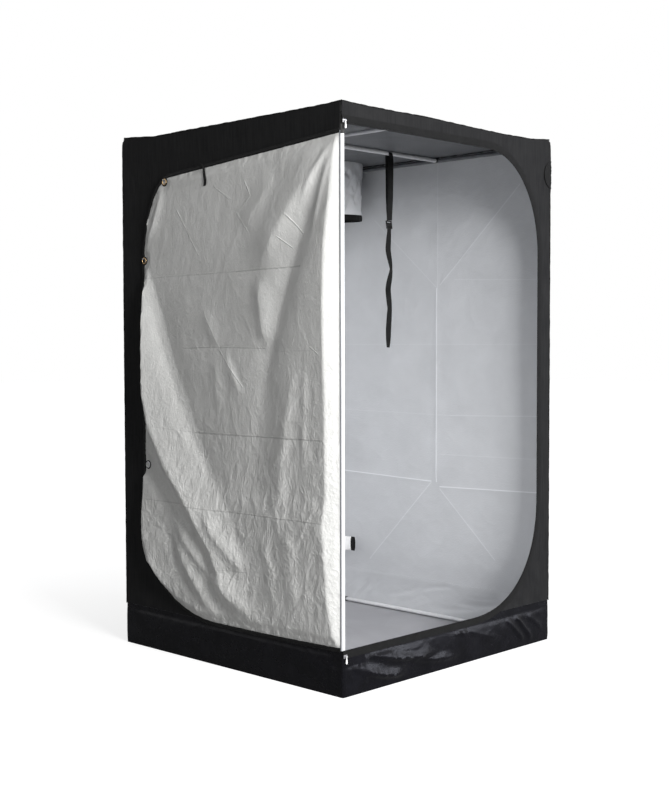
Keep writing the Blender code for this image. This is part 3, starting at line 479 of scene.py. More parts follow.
def make_hard(name, dark, light, roughness, grain, metallic=0.0, specular=0.5, depth=0.00005):
    """Plastic, coating or metal, with an uneven tone and a fine grain in its roughness and bump."""
    material, tree, surface = new_finish(name, light, roughness, metallic=metallic, specular=specular)
    here = place_node(tree, "ShaderNodeTexCoord").outputs["Object"]
    tone = use_pattern(tree, mottle, here, 14.0)
    skin = use_pattern(tree, mottle, here, grain)
    colour = blend_tones(tree, tone, dark, light)
    rough = map_range(tree, skin, roughness - 0.06, roughness + 0.08)
    dress(tree, surface, colour, rough, [(skin, 0.3, depth)])
    return material


def grey(value):
    return (value, value, value)


black_webbing = make_webbing("ribbed_black_webbing", grey(0.006), grey(0.014))
# A grey copy of the webbing for the strip beside the near post: painted shade.
shade_line_tape = make_webbing("painted_shade_edge_tape", (0.20, 0.21, 0.23), (0.32, 0.33, 0.36))
corner_plastic = make_hard(
    "moulded_black_plastic", grey(0.018), grey(0.03), 0.45, 900.0, specular=0.3, depth=0.00015
)
zip_plastic = make_hard("black_zip_plastic", grey(0.010), grey(0.018), 0.55, 700.0, specular=0.12)
pull_plastic = make_hard("white_pull_plastic", (0.80, 0.80, 0.79), (0.87, 0.87, 0.86), 0.3, 400.0)
brass_metal = make_hard("polished_brass", (0.50, 0.33, 0.16), (0.66, 0.47, 0.27), 0.28, 500.0, metallic=1.0)
steel_tones = (0.52, 0.52, 0.54), (0.68, 0.68, 0.70)
plated_steel = make_hard("bright_plated_steel", *steel_tones, 0.3, 500.0, metallic=1.0)
# The posts keep the white coat. The bars and bottom rails get a grey copy of it and the top rails a dark
# copy: painted shade for poles that little light reaches.
coatings = {
    # dark and light tone, roughness, specular level
    "white_powder_coat": ((0.86, 0.87, 0.88), (0.92, 0.93, 0.94), 0.35, 0.5),
    "white_coat_in_painted_half_shade": ((0.56, 0.565, 0.58), (0.66, 0.665, 0.68), 0.4, 0.25),
    "white_coat_in_painted_deep_shade": ((0.10, 0.104, 0.112), (0.14, 0.145, 0.155), 0.5, 0.1),
}
pole_coating, half_shaded_bar_coat, deep_shaded_rail_coat = (
    make_hard(name, dark, light, roughness, 1600.0, specular=specular, depth=0.0001)
    for name, (dark, light, roughness, specular) in coatings.items()
)
print("finishes:", len(bpy.data.materials))

# %% [markdown]
# ## Hard parts keep their solids
# The poles, corners, hooks, rings, pegs, sliders and pulls are already the right shape, so each one
# only gets its finish in its material slot.

# %% Finishes on the solids
hard_finishes = {
    "corner_": corner_plastic,
    "crossbar_hook_": corner_plastic,
    "crossbar_": half_shaded_bar_coat,
    "post_": pole_coating,
    "rail_bottom_": half_shaded_bar_coat,
    "rail_top_": deep_shaded_rail_coat,
    "rail_snap_button": plated_steel,
    "door_ring_lower": plated_steel,
    "door_ring_": brass_metal,
    "wall_peg_": plated_steel,
    "zip_slider_": plated_steel,
    "zip_pull_": pull_plastic,
}
finished = 0
for name, solid in nodes.items():
    for start, finish in hard_finishes.items():
        if name.startswith(start):
            solid.data.materials.clear()
            solid.data.materials.append(finish)
            finished += 1
            break
print("hard parts finished:", finished)

# %% [markdown]
# ## How a sheet is made
# A sheet is a grid of points in rows and columns. Every point has a place in the air and a place on
# the flat cloth, and the second one becomes the UV map, in metres, so the weave keeps its size
# however the cloth bends. Folds come from a few kinds of line and bump, added as heights.

# %% Noise and folds
noise_cells = 97


def limited(value):
    """A value kept between 0 and 1."""
    return np.clip(value, 0, 1)


def ease(share):
    """A share from 0 to 1 whose rise is rounded at both ends."""
    share = limited(share)
    return share * share * (3 - 2 * share)


def soft_noise(u, v, size, seed):
    """Smooth bumps about one size apart, between -1 and 1."""
    table = np.random.default_rng(seed).uniform(-1, 1, (noise_cells, noise_cells))
    turn = seed % 7 + 0.4
    a = (u * math.cos(turn) - v * math.sin(turn)) / size
    b = (u * math.sin(turn) + v * math.cos(turn)) / size
    i, j = np.floor(a).astype(int), np.floor(b).astype(int)
    s, t = ease(a - i), ease(b - j)
    i, j, right, above = (cell % noise_cells for cell in (i, j, i + 1, j + 1))
    low, high = (table[i, row] * (1 - s) + table[right, row] * s for row in (j, above))
    return low * (1 - t) + high * t


def layered_noise(u, v, size, seed, layers=3):
    return sum(soft_noise(u, v, size / 2**layer, seed + layer) / 2**layer for layer in range(layers))


def crinkles(u, v, size, seed):
    """Sharp thin ridges, as in film that was crushed: high where two patches of noise meet."""
    return np.maximum(0, 1 - 5 * np.abs(soft_noise(u, v, size, seed))) ** 1.5


def fold(u, v, start, end, left, right, height, ends=0.05, sharp=1.0):
    """A crest from one point to another, which fades at its ends and has its own width on each side."""
    run_u, run_v = end[0] - start[0], end[1] - start[1]
    share = limited(((u - start[0]) * run_u + (v - start[1]) * run_v) / (run_u**2 + run_v**2))
    du, dv = u - start[0] - run_u * share, v - start[1] - run_v * share
    width = np.where(run_u * dv - run_v * du > 0, left, right)
    fade = ease(np.minimum(share, 1 - share) / ends)
    return height * fade * np.exp(-((np.hypot(du, dv) / width) ** sharp))


def soft_fold(u, v, start, end, bow, left, right, height):
    """A bowed ridge, or a hollow where its height is negative, from one point to another."""
    run_u, run_v = end[0] - start[0], end[1] - start[1]
    length = math.hypot(run_u, run_v)
    share = ((u - start[0]) * run_u + (v - start[1]) * run_v) / length**2
    across = (run_u * (v - start[1]) - run_v * (u - start[0])) / length
    across = across - bow * length * 4 * share * (1 - share)
    width = np.where(across > 0, left, right)
    return height * ease(np.minimum(share, 1 - share) / 0.3) * np.exp(-((np.abs(across) / width) ** 1.6))


def steps(start, end, size):
    return np.linspace(start, end, max(2, int(round(abs(end - start) / size)) + 1))


def pinned(low, value, high, reach):
    """Rises from 0 at both ends of a span to 1 a reach away from them."""
    return ease(np.minimum(value - low, high - value) / reach)


# %% [markdown]
# Hems, tapes, straps and bound seams follow a line, so they share what can be asked of a line: how
# far along it a point is, where it is at even distances, and which way is left of it.

# %% Lines
def stacked(*axes):
    """One array of points from the arrays of their coordinates."""
    return np.stack(np.broadcast_arrays(*axes), -1)


def unit(vectors):
    return vectors / np.linalg.norm(vectors, axis=-1, keepdims=True)


def far_along(line):
    """How far along a line each of its points is."""
    return np.concatenate([[0], np.cumsum(np.linalg.norm(np.diff(line, axis=0), axis=1))])


def read_off(at, away, values):
    """What several columns of values say at new places along a line."""
    return np.stack([np.interp(at, away, column) for column in np.array(values, float).T], -1)


def evenly(line, size):
    """The same line with points at even distances, and how far along it they are."""
    away = far_along(line)
    at = steps(0, away[-1], size)
    return read_off(at, away, line), at


def left_of(line):
    """Unit vectors that point to the left of a line in its plane."""
    run = unit(np.gradient(line, axis=0))
    return np.stack([-run[:, 1], run[:, 0]], -1)


def ring_grid(columns, rows, first=0.0):
    """Angles round a ring and shares along it, for a grid that closes on itself."""
    return np.linspace(0, math.tau, columns)[None, :], np.linspace(first, 1, rows)[:, None]


def on_side(side, along, up, out):
    """A place along one side, a height and a distance from the tent's middle, as x, y and z."""
    out = -out if side in ("left", "front") else out
    return (out, along, up) if side in ("left", "right") else (along, out, up)


# %% [markdown]
# The sheet builder turns such a grid into a mesh. Cells can be left out where there is a hole, and
# the points round the hole are then moved onto its edge. Solidify gives the cloth its thickness
# inwards, and puts the second finish on its inner side. The finished sheet rides on its body and
# stands for its solids.

# %% Sheets with a thickness
def corners_of(grid):
    """The four corners of every cell of a grid."""
    cells = np.stack([grid[:-1, :-1], grid[:-1, 1:], grid[1:, 1:], grid[1:, :-1]], 2)
    return cells.reshape(-1, 4, *grid.shape[2:])


def grid_mesh(name, points, flat, flip=False, closed=False, keep=None):
    """A mesh from a grid; a closed one leaves out its last column, which would lie on the first."""
    if closed:
        points = points[:, :-1]
    index = np.arange(points[..., 0].size).reshape(points.shape[:2])
    if closed:
        index = np.concatenate([index, index[:, :1]], axis=1)
    cells, flat_cells = corners_of(index), corners_of(flat)
    if keep is not None:
        cells, flat_cells = cells[keep.reshape(-1)], flat_cells[keep.reshape(-1)]
    if flip:
        cells, flat_cells = cells[:, ::-1], flat_cells[:, ::-1]
    used, cells = np.unique(cells, return_inverse=True)
    mesh = bpy.data.meshes.new(name)
    mesh.from_pydata(points.reshape(-1, 3)[used].tolist(), [], cells.reshape(-1, 4).tolist())
    mesh.uv_layers.new(name="cloth").data.foreach_set("uv", flat_cells.astype(np.float32).reshape(-1))
    mesh.update()
    return mesh


def new_object(name, mesh, *looks):
    made = bpy.data.objects.new(name, mesh)
    scene.collection.objects.link(made)
    for look in looks:
        mesh.materials.append(look)
    return made


def select_only(obj):
    bpy.ops.object.select_all(action="DESELECT")
    obj.select_set(True)
    bpy.context.view_layer.objects.active = obj


def edit_all(obj):
    """Opens a piece in edit mode with all of it selected."""
    select_only(obj)
    bpy.ops.object.mode_set(mode="EDIT")
    bpy.ops.mesh.select_all(action="SELECT")


def shade(obj, angle):
    """Leaves edit mode and shades a piece smooth, but for edges sharper than an angle in degrees."""
    bpy.ops.object.mode_set(mode="OBJECT")
    select_only(obj)
    bpy.ops.object.shade_smooth_by_angle(angle=math.radians(angle))


def apply_modifiers(obj):
    select_only(obj)
    for modifier in list(obj.modifiers):
        bpy.ops.object.modifier_apply(modifier=modifier.name)


def thicken(obj, thickness):
    solid = obj.modifiers.new("thickness", "SOLIDIFY")
    solid.thickness = thickness
    solid.offset = -1
    solid.material_offset = 1
    apply_modifiers(obj)


def settle(piece, body, replaced=()):
    """The piece rides on its body and stands for its solids."""
    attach(piece, body)
    if replaced:
        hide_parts(*replaced)
    return piece


def make_sheet(name, body, cloth, points, flat, replaced=(), thickness=0.0012, **grid):
    """A settled sheet from its x, y and z and its places on the flat cloth."""
    outside, inside, slot = cloths[cloth]
    mesh = grid_mesh(name, stacked(*points), stacked(*flat), **grid)
    sheet = new_object(name, mesh, outside, inside)
    thicken(sheet, thickness)
    shade(sheet, 50)
    return settle(sheet, body, replaced)


cloths = {
    # outer finish, inner finish, slot of the solid model
    "roof": (cover_black, shaded_roof_lining, "black_cover_fabric"),
    "wall": (cover_black, white_lining, "black_cover_fabric"),
    "band": (coated_band, white_lining, "glossy_band_fabric"),
    "floor": (floor_film, cover_black, "grey_floor_lining"),
    "door": (silver_film, cover_black, "silver_lining"),
    "duct": (white_lining, cover_black, "silver_lining"),
    "port": (lit_sleeve_lining, cover_black, "silver_lining"),
    "tape": (black_webbing, black_webbing, "black_webbing"),
    "patch": (black_webbing, black_webbing, "black_cover_fabric"),
    "edge": (shade_line_tape, shade_line_tape, "silver_lining"),
}
print("cloths:", len(cloths))

# %% [markdown]
# ## The roof and its edge
# The roof cloth is stretched over the top rails. Its corners stand up over the caps of the corner
# connectors, so along each side the edge sags a little between them. The edge heights are written as
# a few points per side and smoothed, and the walls use the same ones, so cover and walls meet.

# %% Roof edge heights
half = 0.6
roof_level = 1.9855
cap_place, cap_rise = 0.5872, 0.0165
edge_points = {
    # place along the side, height
    "left": (
        *((-0.6, 2.0), (-0.5, 1.997), (-0.4, 1.996), (0.12, 1.9935)),
        *((0.4, 1.9925), (0.52, 2.003), (0.6, 2.009)),
    ),
    "front": (
        *((-0.6, 2.0), (-0.5, 1.997), (-0.39, 1.9965), (-0.16, 1.998), (0.05, 1.9935)),
        *((0.27, 1.9895), (0.47, 1.991), (0.57, 2.0), (0.6, 2.003)),
    ),
    "right": (
        *((-0.6, 2.003), (-0.55, 1.999), (-0.45, 1.991), (0.0, 1.989)),
        *((0.45, 1.991), (0.55, 1.998), (0.6, 2.002)),
    ),
    "back": (
        *((-0.6, 2.009), (-0.5, 1.999), (-0.42, 1.992), (0.0, 1.99)),
        *((0.45, 1.991), (0.55, 1.998), (0.6, 2.002)),
    ),
}


def edge_height(side, place):
    at, high = zip(*edge_points[side])
    shifts = (-0.02, -0.01, 0, 0.01, 0.02)
    return np.mean([np.interp(np.clip(place + shift, -half, half), at, high) for shift in shifts], axis=0)


def roof_height(x, y):
    """The roof's level, its rise to the edge heights and to the caps, and its slight sag."""
    rise = cap_rise * np.exp(-((np.hypot(np.abs(x) - cap_place, np.abs(y) - cap_place) / 0.05) ** 2))
    sides = {"left": (y, half + x), "right": (y, half - x), "front": (x, half + y), "back": (x, half - y)}
    for side, (place, inward) in sides.items():
        at_edge = edge_height(side, place) - roof_level
        rise = np.maximum(rise, at_edge * np.exp(-((inward / 0.045) ** 2)))
    return roof_level + rise - 0.0012 * np.cos(np.pi / 2 * x / half) * np.cos(np.pi / 2 * y / half)


# %% [markdown]
# Seen from the side the cover's top corners are round, not sharp, so every point near one of them is
# drawn in a little, the more the higher it is. Only the near left corner is pulled tight by the door.

# %% Round top corners
corner_reach, round_from, round_reach, most_drawn_in = 0.06, 1.962, 0.045, 0.009


def draw_in(x, y, z):
    """The same places, drawn in towards the tent's middle near its top corners."""
    near_x, near_y = (limited((np.abs(across) - half) / corner_reach + 1) for across in (x, y))
    near = np.where((x < 0) & (y < 0), 0.0, near_x * near_y)
    factor = 1 - most_drawn_in * near * limited((z - round_from) / round_reach) ** 2
    return x * factor, y * factor, z


# %% [markdown]
# The roof has a round hole for a duct. Cells inside the circle are left out, and the points of the
# ragged edge slide out along the radius until they lie on the circle.

# %% Roof cloth
def open_hole(x, y, centre, radius):
    """Moves the points round a hole onto its edge, and says which cells stay."""
    middle_x = (x[:-1, :-1] + x[1:, 1:]) / 2
    middle_y = (y[:-1, :-1] + y[1:, 1:]) / 2
    keep = np.hypot(middle_x - centre[0], middle_y - centre[1]) >= radius
    beside_hole, beside_cloth = np.zeros(x.shape, bool), np.zeros(x.shape, bool)
    for rows in (slice(None, -1), slice(1, None)):
        for columns in (slice(None, -1), slice(1, None)):
            beside_hole[rows, columns] |= ~keep
            beside_cloth[rows, columns] |= keep
    rim = beside_hole & beside_cloth
    share = radius / np.hypot(x - centre[0], y - centre[1])[rim]
    x[rim] = centre[0] + (x[rim] - centre[0]) * share
    y[rim] = centre[1] + (y[rim] - centre[1]) * share
    return keep


duct_centre, duct_radius, roof_cell = (0.42, 0.42), 0.120, 0.009
x, y = np.meshgrid(steps(-half, half, roof_cell), steps(-half, half, roof_cell))
keep = open_hole(x, y, duct_centre, duct_radius)
quiet = pinned(-half, x, half, 0.08) * pinned(-half, y, half, 0.08)
crease = fold(x, y, (-0.6, 0.03), (0.6, -0.02), 0.02, 0.02, 0.0010, ends=0.001, sharp=1.4)
waves = np.minimum(quiet * (0.0006 * layered_noise(x, y, 0.16, 3) - crease), 0.001)
z = roof_height(x, y) + waves
roof_cover = make_sheet("roof_cover", "tent", "roof", draw_in(x, y, z), (x, y), ["roof_panel"], keep=keep)
print("roof:", len(roof_cover.data.polygons), "faces, highest", round(float(z.max()), 4))

# %% [markdown]
# ## Walls
# The walls are tight between the posts and go slack in the middle. The cover was folded into a square
# for its box, so each wall has the same pattern of creases: a cross of diagonals above and below and
# level lines between. A crease is a shallow V pressed towards the inside.

# %% Side and back walls
wall_foot, seam_gap = 0.1603, 0.0004
wall_rows, wall_cell = 231, 0.008
port_centre, port_radius = (0.46, 0.272), 0.040
gentle_slack, pressed_crease, deepest = 0.003, 0.0022, 0.009


def wall_creases(u, v):
    creases = [fold(u, v, start, end, 0.012, 0.012, strength) for start, end, _, strength in side_folds]
    return np.max(creases, axis=0)


def make_wall(side, seed, low, hole):
    """A wall from one place along its side to the side's far end, which may have a round hole."""
    u = np.tile(steps(low, half, wall_cell), (wall_rows, 1))
    top = edge_height(side, u) - seam_gap
    v = wall_foot + (top - wall_foot) * np.linspace(0, 1, wall_rows)[:, None]
    keep = open_hole(u, v, *hole) if hole else None
    slack = pinned(low, u, half, 0.10) * pinned(wall_foot, v, roof_level, 0.10)
    near = pinned(low, u, half, 0.03) * pinned(wall_foot - 0.02, v, roof_level - 0.015, 0.03)
    inward = slack * (gentle_slack + 0.0026 * layered_noise(u, v, 0.30, seed, 4))
    inward += near * (pressed_crease * wall_creases(u, v) + 0.0007 * crinkles(u, v, 0.09, seed + 20))
    points = draw_in(*on_side(side, u, v, half - np.clip(inward, 0, deepest)))
    grid = {"flip": side in ("left", "back"), "keep": keep}
    return make_sheet(f"wall_cover_{side}", "tent", "wall", points, (u, v), [f"wall_{side}"], **grid)


for side, seed, low, hole, posts in (
    ("left", 11, -0.589, None, ["post_upper_back_left"]),
    ("right", 12, -half, None, ["post_upper_back_right", "post_upper_front_right"]),
    ("back", 13, -half, (port_centre, port_radius), ["post_upper_back_left", "post_upper_back_right"]),
):
    wall = make_wall(side, seed, low, hole)
    print(wall.name, len(wall.data.polygons), "faces")

# %% [markdown]
# ## The front wall round the doorway
# The front wall is only a frame of cloth round a D-shaped doorway: a band over the top, a round
# corner, the right side, another round corner. A grid that runs along the doorway's edge keeps that
# edge smooth, so each column starts on the edge and ends on the wall's own border.

# %% Doorway outline
def round_corner(centre, reach, power, start, end):
    """A corner between round and square, from one angle to another in degrees."""
    angle = np.radians(np.linspace(start, end, 60))
    way = np.stack([np.cos(angle), np.sin(angle)], -1)
    return np.array(centre) + np.array(reach) * np.sign(way) * np.abs(way) ** (2 / power)


top_corner = round_corner((0.18, 1.532), (0.337, 0.396), 2.1, 90, 0)
bottom_corner = round_corner((0.097, 0.598), (0.420, 0.440), 2.3, 0, -90)
doorway_line = np.concatenate([[(-half, 1.928)], top_corner, bottom_corner, [(-half, 0.158)]])
doorway_edge, doorway_run = evenly(doorway_line, 0.007)
print("doorway edge:", round(float(doorway_run[-1]), 2), "m long")

# %% [markdown]
# From each point of the edge a column runs outwards to the border, square to the edge. The lower part
# of this wall is crumpled, and the rest is nearly smooth.

# %% Front wall
def border_from(point, direction):
    """How far a ray from the doorway's edge goes before it meets the wall's border."""
    best = 9.0
    if direction[0] > 1e-6:
        best = (half - point[0]) / direction[0]
    if direction[1] < -1e-6:
        best = min(best, (wall_foot - point[1]) / direction[1])
    if direction[1] > 1e-6:
        for _ in range(3):
            level = float(edge_height("front", point[0] + direction[0] * min(best, 1))) - seam_gap
            best = min(best, (level - point[1]) / direction[1])
    return best


on_wall = doorway_edge[:, 1] > wall_foot + 0.0005
edge, outward = doorway_edge[on_wall], left_of(doorway_edge)[on_wall]
reach = np.array([border_from(point, direction) for point, direction in zip(edge, outward)])
rows = np.linspace(0, 1, 19)[:, None]
u, v = edge[:, 0] + outward[:, 0] * reach * rows, edge[:, 1] + outward[:, 1] * reach * rows
crushed = 0.0030 * layered_noise(u * 1.3 + v, v * 0.8 - u * 0.5, 0.06, 33, 3)
crushed += 0.0016 + 0.0025 * crinkles(u + v * 0.7, v, 0.05, 37)
inward = 0.0012 + 0.0012 * layered_noise(u, v, 0.11, 31, 3) + limited((0.62 - v) / 0.3) * crushed
inward = np.clip(np.sin(np.pi * rows) * inward, -0.002, 0.010)
points = draw_in(*on_side("front", u, v, half - inward))
front_cover = make_sheet("wall_cover_front", "tent", "wall", points, (u, v), ["wall_front"])
print("front wall grid:", u.shape)

# %% [markdown]
# ## Seams
# Cover and walls are sewn together along the edges and bound with a narrow black tape that is turned
# over. It is a little lumpy where the stitches draw it in, so the tent's outline isn't quite straight.

# %% Bound seams
binding_sides = 8


def make_binding(name, line, radius, lump, seed):
    """A thin lumpy tube of tape along a seam, closed at both ends."""
    centre, at = evenly(line, 0.008)
    run = unit(np.gradient(centre, axis=0))
    one = unit(np.cross(run, np.where(np.abs(run[:, 2:]) > 0.7, [[1.0, 0, 0]], [[0, 0, 1.0]])))
    other = np.cross(run, one)
    thick = radius + lump * (soft_noise(at, 0, 0.022, seed) + 0.5 * soft_noise(at, 0, 0.009, seed + 1))
    angle = np.linspace(0, math.tau, binding_sides + 1)[:, None]
    points = np.cos(angle) * one[:, None] + np.sin(angle) * other[:, None]
    points = centre[:, None] + thick[:, None, None] * points
    flat = stacked(angle.T * radius, at[:, None])
    binding = new_object(name, grid_mesh(name, points, flat, closed=True), black_webbing)
    edit_all(binding)
    bpy.ops.mesh.fill_holes(sides=binding_sides)
    bpy.ops.mesh.normals_make_consistent(inside=False)
    shade(binding, 50)
    return settle(binding, "tent")


along_side = np.linspace(-half, half, 160)
for seed, side in enumerate(("left", "right", "front", "back"), 200):
    line = draw_in(*on_side(side, along_side, edge_height(side, along_side) - 0.001, half))
    make_binding(f"top_seam_{side}", stacked(*line), 0.0020, 0.0011, seed)
upright = np.linspace(0.158, 1.992, 120)
corner_places = {"front_right": (half, -half), "back_right": (half, half), "back_left": (-half, half)}
for seed, (name, (x, y)) in enumerate(corner_places.items(), 210):
    make_binding(f"upright_seam_{name}", stacked(*draw_in(x, y, upright)), 0.0018, 0.0006, seed)
print("bound seams:", 4 + len(corner_places))

# %% [markdown]
# A bare round patch of black cloth is sewn on round the front right edge, near the top.

# %% Round patch
turn, share = ring_grid(49, 12, first=0.02)
patch_radius, patch_level, stand = 0.055, 1.862, 0.0034
u, v = patch_radius * share * np.cos(turn) + 0.008, patch_radius * share * np.sin(turn)
points = (half + stand - np.maximum(0, -u), np.maximum(0, u) - half - stand, patch_level + v)
round_patch = make_sheet("round_patch", "tent", "patch", points, (u, v), (), 0.0014, closed=True, flip=True)
print("patch:", len(round_patch.data.polygons), "faces")

# %% [markdown]
# ## Zip tape and teeth
# A woven tape is sewn round the doorway, and its coil of teeth runs along the edge. The tape is a
# strip on the same outline. One tooth is modelled and then repeated along the edge.

# %% Zip tape on the doorway
# how far from the tent's middle each of these lies on its side
tape_out, tooth_out = 0.6014, 0.6021
door_out_flat, hem_out_flat, patch_out, door_tooth_out = 0.6022, 0.6024, 0.6030, 0.6032


def strip_along(line, across):
    """Places on a strip to the left of a line, one row for each distance from it."""
    sideways = left_of(line)
    return line[:, 0] + sideways[:, 0] * across, line[:, 1] + sideways[:, 1] * across


across = np.linspace(0.0004, 0.024, 6)[:, None]
lift = 0.0004 * np.sin(np.pi * np.linspace(0, 1, 6))[:, None]
points = on_side("front", *strip_along(doorway_edge, across), tape_out + lift)
flat = (doorway_run, across)
zip_tape = make_sheet("zip_tape_doorway", "tent", "tape", points, flat, ["doorway_zip_tape"], 0.0009)
print("zip tape:", len(zip_tape.data.polygons), "faces")


# %% One tooth, copied along an edge
def add_block(name, size, place=(0, 0, 0)):
    bpy.ops.mesh.primitive_cube_add(size=1, location=place)
    block = bpy.context.object
    block.name = name
    block.scale = size
    bpy.ops.object.transform_apply(location=True, rotation=False, scale=True)
    return block


tooth_pitch, tooth_size = 0.0031, (0.0016, 0.0042, 0.0014)


def make_teeth(name, body, side, line, inset, out):
    """One mesh with a tooth at every step of a line: its x along the line, its y across, its z out."""
    edge, _ = evenly(line, tooth_pitch)
    places = stacked(*on_side(side, *(edge - inset * left_of(edge)).T, out))[:, None]
    along = unit(stacked(*on_side(side, *np.gradient(edge, axis=0).T, 0)))[:, None]
    outward = np.array(on_side(side, 0.0, 0.0, 1.0))
    shape = np.array([vertex.co for vertex in tooth.data.vertices])
    points = places + shape[:, :1] * along + shape[:, 1:2] * np.cross(outward, along)
    points += shape[:, 2:] * outward
    faces = [list(face.vertices) for face in tooth.data.polygons]
    faces = [[i + n * len(shape) for i in face] for n in range(len(edge)) for face in faces]
    mesh = bpy.data.meshes.new(name)
    mesh.from_pydata(points.reshape(-1, 3).tolist(), [], faces)
    return settle(new_object(name, mesh, zip_plastic), body)


tooth = add_block("tooth", tooth_size)
edit_all(tooth)
bpy.ops.mesh.bevel(offset=0.0003, segments=1, affect="EDGES")
bpy.ops.object.mode_set(mode="OBJECT")
zip_teeth = make_teeth("zip_teeth_doorway", "tent", "front", doorway_line, 0.0026, tooth_out)
print("doorway teeth:", len(zip_teeth.data.polygons), "faces")

# %% [markdown]
# ## The band round the foot
# The lowest part of the cover is a separate band of coated cloth. It is cut a little long, so it
# bulges out between its seam and the floor, and it is crumpled. The grid goes once round the tent,
# with small round corners, and closes on itself.

# %% Base band
band_folds = (
    # upper end, lower end (along the front, height), bow, width above and below the crest, its height
    ((-0.585, 0.130), (-0.480, 0.030), 0.12, 0.012, 0.006, 0.005),
    ((-0.570, 0.110), (-0.380, 0.055), -0.10, 0.014, 0.006, 0.007),
    ((-0.545, 0.095), (-0.260, 0.030), -0.07, 0.022, 0.008, 0.012),
    ((-0.510, 0.140), (-0.080, 0.072), -0.05, 0.022, 0.008, 0.012),
    ((-0.400, 0.135), (-0.160, 0.112), -0.05, 0.010, 0.006, 0.005),
    ((-0.330, 0.098), (0.040, 0.040), -0.05, 0.016, 0.008, 0.008),
    ((-0.130, 0.142), (0.090, 0.100), 0.05, 0.012, 0.006, 0.006),
    ((0.050, 0.135), (0.290, 0.060), -0.05, 0.014, 0.007, 0.005),
    ((0.300, 0.135), (0.440, 0.015), 0.00, 0.010, 0.006, 0.006),
    ((0.365, 0.135), (0.490, 0.015), 0.00, 0.010, 0.006, 0.007),
    ((0.440, 0.120), (0.560, 0.040), 0.05, 0.013, 0.007, 0.004),
)
band_top, corner_radius = 0.160, 0.005
band_line = [
    (
        x * (half - corner_radius) + corner_radius * math.cos(angle),
        y * (half - corner_radius) + corner_radius * math.sin(angle),
    )
    for x, y, start in ((1, -1, -90), (1, 1, 0), (-1, 1, 90), (-1, -1, 180))
    for angle in np.radians(np.linspace(start, start + 90, 6))
]
band_edge, band_run = evenly(np.array(band_line + band_line[:1]), 0.0065)
x, y = band_edge.T
out = -left_of(band_edge).T
u, v = band_run, np.linspace(0, band_top, 25)[:, None]
corner_near = limited((np.abs(np.abs(x) - half) + np.abs(np.abs(y) - half)) / 0.10)
belly = np.sin(np.pi * limited(v / 0.150)) ** 0.8
in_front, at_right = limited((-0.575 - y) / 0.02), limited((x - 0.575) / 0.02)
folded = np.zeros((25, len(band_run)))
for band_fold in band_folds:
    for along, here in ((x, in_front), (y, 0.6 * at_right)):
        folded = np.maximum(folded, here * soft_fold(along, v, *band_fold))
rough = 0.0014 * layered_noise(u * 0.7, v * 1.6, 0.10, 51, 3)
rough = rough + 0.0009 * crinkles(u * 0.6 + v, v * 1.3 - u * 0.3, 0.045, 57)
wavy = 0.25 + 0.75 * np.maximum(in_front, at_right)
bulge = belly * (0.0050 * (0.35 + 0.65 * corner_near) + wavy * rough) + folded
bulge = np.clip(bulge, 0, 0.019) * pinned(0, v, band_top, 0.012)

# %% [markdown]
# The zip's lower slider, its pull and the door's hem pass in front of the band, so there it is held
# flat and they run clear of it.

# %% Room for the slider, the pull and the hem
flat_at_pull = (y < -0.55) & (x < -0.5) & (v > 0.095)
bulge = np.where(flat_at_pull, np.minimum(bulge, 0.0008), bulge)
slider_room = 0.0008 + 0.02 * limited((0.128 - v) / 0.02)
bulge = np.where(y < -0.55, np.minimum(bulge, slider_room), bulge)
bulge = np.where((x < -0.55) & (v > 0.135), 0.0, bulge)
points = (x + out[0] * bulge, y + out[1] * bulge, v)
band_cover = make_sheet("base_band_cover", "tent", "band", points, (u, v), ["base_band"], closed=True)
print("band:", len(band_cover.data.polygons), "faces")

# %% [markdown]
# ## The floor sheet
# The grey floor lies flat on the ground inside the rails, with a few low waves.

# %% Floor sheet
inner, floor_cell = 0.598, 0.01
x, y = np.meshgrid(steps(-inner, inner, floor_cell), steps(-inner, inner, floor_cell))
calm = pinned(-inner, x, inner, 0.09) * pinned(-inner, y, inner, 0.09)
waves = 0.0016 + 0.0018 * layered_noise(x, y, 0.28, 71, 3) + 0.002 * crinkles(x, y, 0.16, 75)
points = (x, y, 0.0014 + calm * np.clip(waves, 0, 0.006))
floor_sheet = make_sheet("floor_sheet", "tent", "floor", points, (x, y), ["floor_panel"])
print("floor sheet:", len(floor_sheet.data.polygons), "faces")

# %% [markdown]
# ## The door
# The door is a D-shaped leaf of the same cloth. It hangs along the left side by three rings, so its
# silver lining faces out, and it is pulled into long folds that run from the rings and from the top
# of the near post. Each fold follows a line that was read from the photograph. The door's cloth is
# held flat at its hem, and never goes through the wall behind it.

# %% Door outline
door_start, door_end = -0.590, 0.474
door_halves = {
    # which way is out, level at the post and where the round corner begins, sag between them,
    # the corner's reach along the wall and in height
    "top": (1, 1.906, 1.839, 0.0, 0.174, 0.384),
    "bottom": (-1, 0.158, 0.149, 0.003, 0.424, 0.321),
}
ring_places = {"upper": (0.333, 1.812), "middle": (0.461, 1.518), "lower": (0.448, 0.724)}


def door_edge_at(which, y, inset=0.0):
    """The level of the door's top or bottom edge at a place along the wall, drawn in by an inset."""
    up, at_post, at_corner, sag, reach, drop = door_halves[which]
    centre = door_end - reach
    share = (y - door_start) / (centre - door_start)
    straight = at_post + (at_corner - at_post) * share - sag * np.sin(np.pi * share) - up * inset
    turn = limited((y - centre) / (reach - inset))
    rounded = at_corner - up * (drop - (drop - inset) * np.sqrt(1 - turn * turn))
    return np.where(y <= centre, straight, rounded)


def door_half_line(which, count):
    """One half of the door's outline, from the post to the end of its round corner."""
    reach = door_halves[which][4]
    centre = door_end - reach
    corner = centre + reach * np.sin(np.pi / 2 * np.linspace(0.02, 1, count))
    y = np.concatenate([np.linspace(door_start, centre, 60), corner])
    return np.stack([y, door_edge_at(which, y)], -1)


